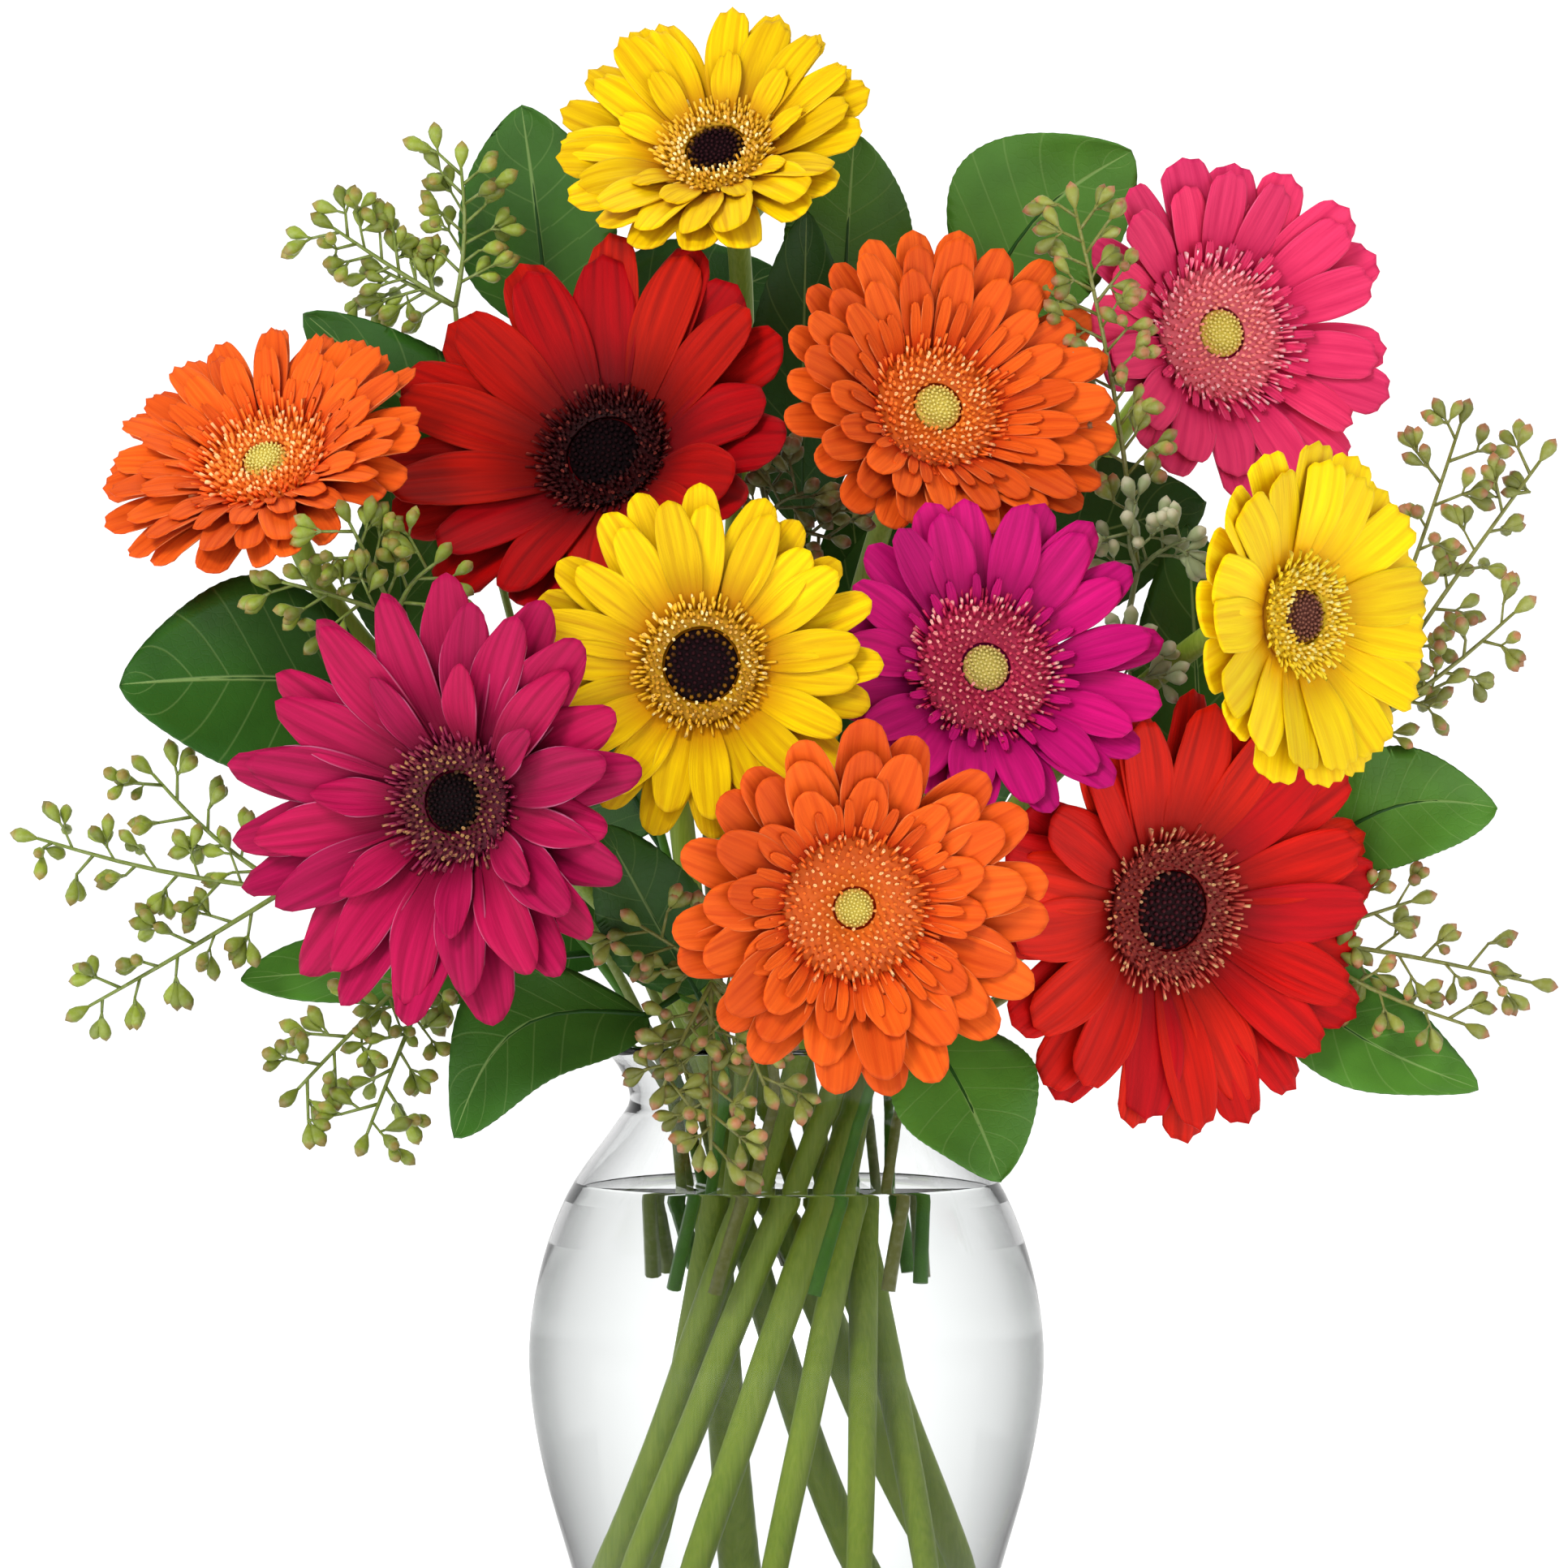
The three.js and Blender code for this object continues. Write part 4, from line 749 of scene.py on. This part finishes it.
STALK_RADIUS = 0.0009
RIB_REACH = 0.9
RIB_STEPS = 8
RIB_SIDES = 6
RIB_TAPER = 0.09
SIDE_VEINS = 7


def metres(values):
    """Lengths or a place given in millimetres."""
    return [value / 1000 for value in values]


def greens_path(bearing, route):
    """Route of a leafy stem: straight from the water through the neck, then a smooth bend."""
    place = ring_place(GREENS_RADIUS, GREENS_SLOPE, bearing)
    foot = bundle_point(GREENS_RADIUS, GREENS_SLOPE, place, GREENS_FOOT)
    neck = bundle_point(GREENS_RADIUS, GREENS_SLOPE, place, NECK_HEIGHT)
    points = [foot, neck, *[Vector(metres(point)) for point in route]]
    return [foot, *curve_through([*points, 2 * points[-1] - points[-2]], GREENS_STEPS)]


def run_greens_stem(bm, bearing, route):
    """Woody stem, thinner towards its end."""
    path = greens_path(bearing, route)
    radii = [GREENS_STEM + (TWIG - GREENS_STEM) * k / (len(path) - 1) for k in range(len(path))]
    run_stem(bm, path, radii, GREENS_SIDES)
    for vert in bm.verts:
        vert[tone_layer] = GREENS_TONE


def leaf_outline(share):
    """Half-width of an oval leaf with a drawn-out tip, from 0 at its root to 0 at its tip."""
    return sin(pi * share ** 0.88) ** 0.68 * (1 - 0.1 * share)


def grow_leaf(bm, node, leaf, draw):
    """One leaf on its stalk, from a flat grid that is given its outline, fold, wave and teeth."""
    _, tip, face, *sizes, tone = leaf
    width, arch, sway = metres(sizes)
    node, tip = Vector(metres(node)), Vector(metres(tip))
    root = node.lerp(tip, STALK_SHARE)
    along_leaf = tip - root
    length = along_leaf.length
    along_leaf.normalize()
    up = Vector(face) - Vector(face).project(along_leaf)
    up.normalize()
    side = along_leaf.cross(up)
    shift = draw.uniform(0, tau)
    grid = bmesh.ops.create_grid(bm, x_segments=LEAF_COLUMNS, y_segments=LEAF_ROWS, size=1, calc_uvs=True)
    for vert in grid["verts"]:
        across, share = vert.co.x, (vert.co.y + 1) / 2
        half = width / 2 * leaf_outline(min(max(share, 1e-4), 1 - 1e-4))
        saw = (share * LEAF_TEETH) % 1
        half += LEAF_TOOTH * (saw - 0.5) * abs(across) ** 8 * sin(pi * share) ** 0.3
        wave = LEAF_WAVE * across * abs(across) * sin(share * tau * 1.9 + shift)
        lift = abs(across) ** 1.4 * half * LEAF_FOLD + wave + arch * sin(pi * share)
        spot = root + along_leaf * share * length + up * lift
        vert.co = spot + side * (across * half + sway * sin(pi * share))
        vert[tone_layer] = tone
    bmesh.ops.solidify(bm, geom=faces_of(grid["verts"]), thickness=LEAF_THICKNESS)
    rib = [node]
    for step in range(RIB_STEPS + 1):
        share = RIB_REACH * step / RIB_STEPS
        curve = sin(pi * share)
        below = up * (arch * curve - LEAF_THICKNESS * 0.8) + side * sway * curve
        rib.append(root + along_leaf * share * length + below)
    radii = [STALK_RADIUS] + [STALK_RADIUS * (1 - RIB_TAPER * step) for step in range(RIB_STEPS + 1)]
    run_stem(bm, rib, radii, RIB_SIDES)


def leaf_finish():
    """Leathery evergreen leaf: waxy and half glossy, with a pale midrib and side veins, and a fine net
    of veins between them that breaks up its shine."""
    material, add = new_material("lemon_leaf_blade")
    place = add("UVMap", uv_map="blade")
    parts = add("SeparateXYZ", [place])
    solid_place = add("TexCoord")
    tone = add("Attribute", attribute_name="tone")
    off_middle = add("Math", [parts, 0.5], operation="SUBTRACT")
    across = add("Math", [off_middle], operation="ABSOLUTE")
    swept = add("Math", [across, -0.42, parts.outputs[1]], operation="MULTIPLY_ADD")
    repeated = add("Math", [swept, SIDE_VEINS], operation="MULTIPLY")
    back_and_forth = add("Math", [repeated, 0.5], operation="PINGPONG")
    side_vein = add("MapRange", [back_and_forth, 0, 0.05, 1, 0], **SMOOTH)
    midrib = add("MapRange", [across, 0.006, 0.02, 1, 0], **SMOOTH)
    soft_side = add("Math", [side_vein, 0.35], operation="MULTIPLY")
    vein = add("Math", [soft_side, midrib], operation="MAXIMUM")
    net = add("TexVoronoi", {"Vector": solid_place, "Scale": 520}, feature="DISTANCE_TO_EDGE")
    patches = add("TexNoise", {"Vector": solid_place, "Scale": 60})
    fresh = add("Mix", [tone, linear("1E4A14"), linear("54882C")])
    mottle = add("MapRange", [patches, 0.35, 0.7, 0.85, 1.15])
    mottled = add("HueSaturation", {"Value": mottle, "Color": fresh})
    pale = add("Math", [vein, 0.38], operation="MULTIPLY")
    veined = add("Mix", [pale, mottled, linear("A9C478")])
    net_height = add("MapRange", [net, 0, 0.12, 0, 0.25])
    height = add("Math", [net_height, vein], operation="SUBTRACT")
    relief = add("Bump", {"Strength": 0.3, "Distance": 0.0004, "Height": height})
    blade = add("BsdfPrincipled", {
        "Roughness": 0.42, "Specular IOR Level": 0.3, "Base Color": veined, "Normal": relief,
    })
    add("OutputMaterial", [blade])
    return material


leaf_skin = leaf_finish()
for index, (name, sprig) in enumerate(LEMON_LEAF.items()):
    draw = random.Random(601 + index)
    bm = bmesh.new()
    bm.loops.layers.uv.new("blade")
    tone_layer = bm.verts.layers.float.new("tone")
    run_greens_stem(bm, sprig["bearing"], sprig["route"])
    for leaf in sprig["leaves"]:
        grow_leaf(bm, sprig["route"][leaf[0]], leaf, draw)
    bmesh.ops.recalc_face_normals(bm, faces=bm.faces)
    new_piece(f"{name}_sprig", bm, [leaf_skin], name, "leaf")

# Seeded eucalyptus: thin forked twigs that carry hard, pear-shaped seed capsules in small bunches.
# Each capsule narrows into its own stalk and ends in a flat lid with a point.
# Twigs: the point of the route that each grows from, its end, and its finish where it has its own.
# look: the finish below of the other twigs. crowd: how closely the bunches stand. Again in millimetres.
EUCALYPTUS = table("bearing look crowd route twigs", {
    "eucalyptus_upper_left": (143, "green", 2.1, [(-58, 24, 244), (-78, 30, 316), (-82, 8, 356)],
        [(2, (-118, 4, 379)), (2, (-80, 2, 397)), (2, (-106, 10, 368))]),
    "eucalyptus_left": (188, "green", 1, [(-52, -6, 182), (-84, -14, 198), (-122, -18, 212)],
        [(2, (-189.5, -22, 226)), (2, (-160, -20, 245)), (2, (-176, -22, 180)), (1, (-122, -46, 160)),
         (1, (-103, -48, 148))]),
    "eucalyptus_mid_left": (172, "green", 1.3, [(-50, 0, 206), (-80, -24, 250), (-94, -44, 278)],
        [(2, (-127, -58, 288)), (2, (-107, -60, 306)), (2, (-80, -52, 296))]),
    "eucalyptus_front": (-96, "pinkish", 1.5, [(-8, -36, 182), (-18, -54, 190)],
        [(1, (-32, -68, 160)), (1, (-18, -70, 144)), (1, (-2, -66, 160)), (0, (-40, -56, 208))]),
    # Deep in the bunch: this spray's darker look is painted shade over its own browner lids
    "eucalyptus_centre": (118, "brown", 1.7, [(-20, 30, 230), (-14, 10, 285), (-4, -6, 302)],
        [(2, (-10, -16, 324)), (2, (8, -24, 312)), (2, (16, -26, 296))]),
    "eucalyptus_mid_right": (44, "whitish", 1.7, [(54, 14, 230), (80, -4, 270), (86, -14, 290)],
        [(2, (82, -34, 304)), (2, (102, -30, 300)), (1, (84, -40, 260)), (2, (69, -22, 385), "pinkish")]),
    "eucalyptus_right": (-8, "pinkish", 0.9, [(68, 2, 193), (122, -8, 200), (138, -10, 250)],
        [(1, (189.2, -14, 188)), (1, (160, -10, 211)), (1, (172, -18, 176)), (2, (184, -12, 284)),
         (2, (168, -10, 266)), (2, (189.2, -6, 323)), (2, (168, -6, 333))]),
})
# Stalk, body and lid of each look. The brown look is a darker copy of the green one, painted shade for the
# spray deep in the bunch, with its own browner lids
CAPSULE_LOOKS = {
    "green": ("74843A", "8A9A34", "94783A"),
    "pinkish": ("7A7C3A", "8E9440", "B4684E"),
    "brown": ("5A5C30", "70723A", "8A5840"),
    "whitish": ("7A8656", "A4B080", "D4CEB0"),
}
CAPSULE_LENGTH = 0.0066
CAPSULE_RADIUS = 0.0025
CAPSULE_SIDES = 8
CAPSULE_ROWS = 6
TWIG_STEPS = 6
TWIG_SIDES = 5
STALK_SIDES = 4
BUNCH_SPACING = 0.0052
BUNCH_STALK = 0.0055
LONG_STALK = 0.0085
SPRAY_REACH = 0.1835


def hang_capsule(bm, root, heading, size, tone):
    """One capsule: a ball drawn out to its stalk, with a flat lid and a point on it."""
    turned = heading.to_track_quat("Z", "Y").to_matrix().to_4x4()
    ball = bmesh.ops.create_uvsphere(bm, u_segments=CAPSULE_SIDES, v_segments=CAPSULE_ROWS, radius=1)
    for vert in ball["verts"]:
        height = (vert.co.z + 1) / 2
        taper = 1 - 0.8 * (1 - height) ** 1.2
        point = 1.1 if vert.co.z > 0.99 else 1
        vert[along_layer] = 0.35 + 0.65 * height
        vert[tone_layer] = tone
        vert.co = Vector((
            vert.co.x * CAPSULE_RADIUS * taper * size, vert.co.y * CAPSULE_RADIUS * taper * size,
            height * CAPSULE_LENGTH * point * size,
        ))
    bmesh.ops.transform(bm, matrix=Matrix.Translation(root) @ turned, verts=ball["verts"])


def hang_bunch(bm, root, heading, count, draw):
    """A few stalked capsules that fan out from one point, none of them far out to the side."""
    for _ in range(count):
        fan = Vector([draw.uniform(-0.8, 0.8) for _ in range(3)])
        way = (heading + fan).normalized()
        if abs(root.x + way.x * CAPSULE_LENGTH) > SPRAY_REACH:
            way.x = -way.x
        base = root + way * draw.uniform(0.0006, 0.002)
        run_stem(bm, [root - way * 0.0003, base + way * 0.0003], [TWIG * 0.5] * 2, STALK_SIDES)
        hang_capsule(bm, base, way, draw.uniform(0.75, 1.05), draw.random())


def grow_twig(bm, start, end, crowd, draw):
    """A twig with a capsule at its end and stalked bunches of them to either side in turn."""
    along = end - start
    length = along.length - CAPSULE_LENGTH * 1.1
    along.normalize()
    sideways = Vector((draw.uniform(-0.3, 0.3), -1, draw.uniform(-0.3, 0.3))).cross(along).normalized()
    outward = along.cross(sideways)
    bow = outward * draw.uniform(-0.0015, 0.0015) + sideways * draw.uniform(-0.002, 0.002)
    steps = range(TWIG_STEPS + 1)
    path = [start + along * length * k / TWIG_STEPS + bow * sin(pi * k / TWIG_STEPS) for k in steps]
    run_stem(bm, path, [TWIG * (1.15 - 0.08 * k) for k in steps], TWIG_SIDES)
    hang_capsule(bm, path[-1] - along * 0.0004, along, 1, draw.random())
    bunches = max(2, round(length * 0.85 * crowd / BUNCH_SPACING))
    for k in range(bunches):
        share = 1 - 0.85 * (k + 0.7) / bunches
        node = start + along * length * share + bow * sin(pi * share)
        turn = (k % 2) * pi + draw.uniform(-0.7, 0.7)
        away = sideways * cos(turn) + outward * sin(turn)
        stalk = (along * draw.uniform(0.5, 1) + away).normalized()
        stalk_length = BUNCH_STALK * draw.uniform(0.6, 1.9)
        if abs(node.x + stalk.x * stalk_length) > SPRAY_REACH:
            stalk_length /= 4
        stalk_end = node + stalk * stalk_length
        run_stem(bm, [node, stalk_end], [TWIG * 0.7, TWIG * 0.55], STALK_SIDES)
        hang_bunch(bm, stalk_end, stalk, draw.choice((3, 3, 4)), draw)
        if stalk_length > LONG_STALK:
            hang_bunch(bm, node + stalk * stalk_length * 0.5, away, 2, draw)


def capsule_finish(look, stalk, body, lid):
    """Seed capsule: hard, dull green under a thin powdery bloom, and browner or pinker at its lid. The
    brown look is also darker all over, which is painted shade.
    """
    material, add = new_material(f"{look}_eucalyptus_capsule")
    along = add("Attribute", attribute_name="along")
    tone = add("Attribute", attribute_name="tone")
    place = add("TexCoord")
    powder = add("TexNoise", {"Vector": place, "Scale": 700, "Detail": 3})
    to_body = add("MapRange", [along, 0.2, 0.55, 0, 1])
    to_lid = add("MapRange", [along, 0.84, 1, 0, 0.85], **SMOOTH)
    bodied = add("Mix", [to_body, linear(stalk), linear(body)])
    lidded = add("Mix", [to_lid, bodied, linear(lid)])
    dusting = add("MapRange", [powder, 0.45, 0.75, 0, 0.2])
    dusted = add("Mix", [dusting, lidded, linear("C8CCA8")])
    shade = add("MapRange", [tone, 0, 1, 0.6, 1.1])
    toned = add("HueSaturation", {"Value": shade, "Color": dusted})
    skin = add("BsdfPrincipled", {"Roughness": 0.38, "Specular IOR Level": 0.4, "Base Color": toned})
    add("OutputMaterial", [skin])
    return material


capsule_finishes = {look: capsule_finish(look, *colours) for look, colours in CAPSULE_LOOKS.items()}
for index, (name, sprig) in enumerate(EUCALYPTUS.items()):
    draw = random.Random(701 + index)
    bm = bmesh.new()
    along_layer = bm.verts.layers.float.new("along")
    tone_layer = bm.verts.layers.float.new("tone")
    run_greens_stem(bm, sprig["bearing"], sprig["route"])
    looks = [sprig["look"]]
    for start, end, *own_look in sprig["twigs"]:
        older = len(bm.faces)
        root = Vector(metres(sprig["route"][start]))
        grow_twig(bm, root, Vector(metres(end)), sprig["crowd"], draw)
        looks += own_look
        bm.faces.ensure_lookup_table()
        for face in bm.faces[older:]:
            face.material_index = len(own_look)
    for vert in bm.verts:
        if vert[along_layer] == 0:
            vert[tone_layer] = GREENS_TONE
    bmesh.ops.recalc_face_normals(bm, faces=bm.faces)
    new_piece(f"{name}_spray", bm, [capsule_finishes[look] for look in looks], name, "capsule")

# The studio: a white floor that runs out of sight, a bright band at the horizon under a dimmer sky, a
# large soft lamp above on the left, a broad one overhead and a faint one on the right. Two curved grey
# cards stand behind the vase to either side, and only clear glass and water show them, at their edges.
FLOOR_RADIUS = 40
FLOOR_SIDES = 64
BAND_HEIGHT = (0.2, 0.5)
BAND_LIGHT = 1.15
SKY_LIGHT = 0.15
GLOW_FROM = 0.12
GLOW_TO = 0.9
GLOW = 0.86
CARD_FOOT = 0.09
CARD_RADIUS = 0.36
CARD_HEIGHT = 0.6
CARD_LIFT = 0.0005
CARD_FROM = 8
CARD_SPAN = 82
CARD_STEPS = 24
CARD_FADE = (0.15, 0.75)
CARD_END = (0.86, 0.995)
CARD_LIGHT = (1.15, 0.28)
LAMPS = table("at size power", {
    "key": ((-1.0, -1.5, 1.6), 0.9, 32),
    "fill": ((1.5, -1.2, 0.7), 1.2, 4),
    "top": ((0.1, 0.5, 1.7), 1.4, 15),
})
AIM = Vector((0, -0.02, 0.26))
bm = bmesh.new()
bmesh.ops.create_circle(bm, cap_ends=True, segments=FLOOR_SIDES, radius=FLOOR_RADIUS)
paper, add = new_material("white_studio_paper")
place = add("TexCoord")
distance = add("VectorMath", [place], operation="LENGTH")
glow = add("MapRange", [distance.outputs["Value"], GLOW_FROM, GLOW_TO, 0, GLOW])
matt_white = add("BsdfPrincipled", {
    "Base Color": linear("FAFAFA"), "Roughness": 0.9, "Specular IOR Level": 0,
    "Emission Color": (1, 1, 1, 1), "Emission Strength": glow,
})
add("OutputMaterial", [matt_white])
floor = add_object("studio_floor", make_mesh("studio_floor", bm, [paper]))

bm = bmesh.new()
for way in (-1, 1):
    outward = Vector((way * sin(radians(CARD_FROM)), cos(radians(CARD_FROM)), 0))
    line = [outward * CARD_FOOT, outward * CARD_RADIUS, outward * CARD_RADIUS + UP * CARD_HEIGHT]
    line = [bm.verts.new(point + UP * CARD_LIFT) for point in line]
    edges = [bm.edges.new(pair) for pair in zip(line, line[1:])]
    turn = -way * radians(CARD_SPAN)
    bmesh.ops.spin(bm, geom=line + edges, cent=(0, 0, 0), axis=UP, angle=turn, steps=CARD_STEPS)
card_paper, add = new_material("grey_card")
place = add("TexCoord")
parts = add("SeparateXYZ", [place])
sideways = add("Math", [parts], operation="ABSOLUTE")
fade = add("MapRange", [
    sideways, CARD_RADIUS * CARD_FADE[0], CARD_RADIUS * CARD_FADE[1], CARD_LIGHT[0], CARD_LIGHT[1],
])
end = add("MapRange", [
    sideways, CARD_RADIUS * CARD_END[0], CARD_RADIUS * CARD_END[1], CARD_LIGHT[1], CARD_LIGHT[0],
])
level = add("Math", [fade, end], operation="MAXIMUM")
matt_grey = add("BsdfPrincipled", {
    "Base Color": linear("000000"), "Roughness": 1, "Specular IOR Level": 0, "Emission Color": (1, 1, 1, 1),
    "Emission Strength": level,
})
add("OutputMaterial", [matt_grey])
cards = add_object("grey_cards", make_mesh("grey_cards", bm, [card_paper]))
cards.visible_camera = False
cards.visible_diffuse = False
cards.visible_shadow = False

world = bpy.data.worlds.new("studio_light")
world.use_nodes = True
world.node_tree.nodes.clear()
add = partial(add_node, world.node_tree)
direction = add("TexCoord")
parts = add("SeparateXYZ", [direction.outputs["Generated"]])
height = add("Math", [parts.outputs[2]], operation="ABSOLUTE")
level = add("MapRange", [height, BAND_HEIGHT[0], BAND_HEIGHT[1], BAND_LIGHT, SKY_LIGHT], **SMOOTH)
sky = add("Background", {"Color": (1, 1, 1, 1), "Strength": level})
add("OutputWorld", [sky])
bpy.context.scene.world = world

for name, lamp in LAMPS.items():
    light = bpy.data.lights.new(f"{name}_softbox", "AREA")
    light.shape = "DISK"
    light.size = lamp["size"]
    light.energy = lamp["power"]
    softbox = add_object(f"{name}_softbox", light)
    softbox.location = lamp["at"]
    softbox.visible_glossy = False
    softbox.visible_transmission = False
    softbox.rotation_euler = (AIM - Vector(lamp["at"])).to_track_quat("-Z", "Y").to_euler()

# The camera stands level with the middle of the picture, 1.8 m in front of the vase's axis.
CAMERA_AT = (-0.0006, -1.8, 0.2378)
PICTURE_WIDTH = 0.3864
SENSOR = 36
camera_data = bpy.data.cameras.new("camera")
camera_data.sensor_width = SENSOR
camera_data.lens = SENSOR * -CAMERA_AT[1] / PICTURE_WIDTH
camera = add_object("camera", camera_data)
camera.location = CAMERA_AT
camera.rotation_euler = (pi / 2, 0, 0)
bpy.context.scene.camera = camera
bpy.context.scene.view_settings.view_transform = "Standard"
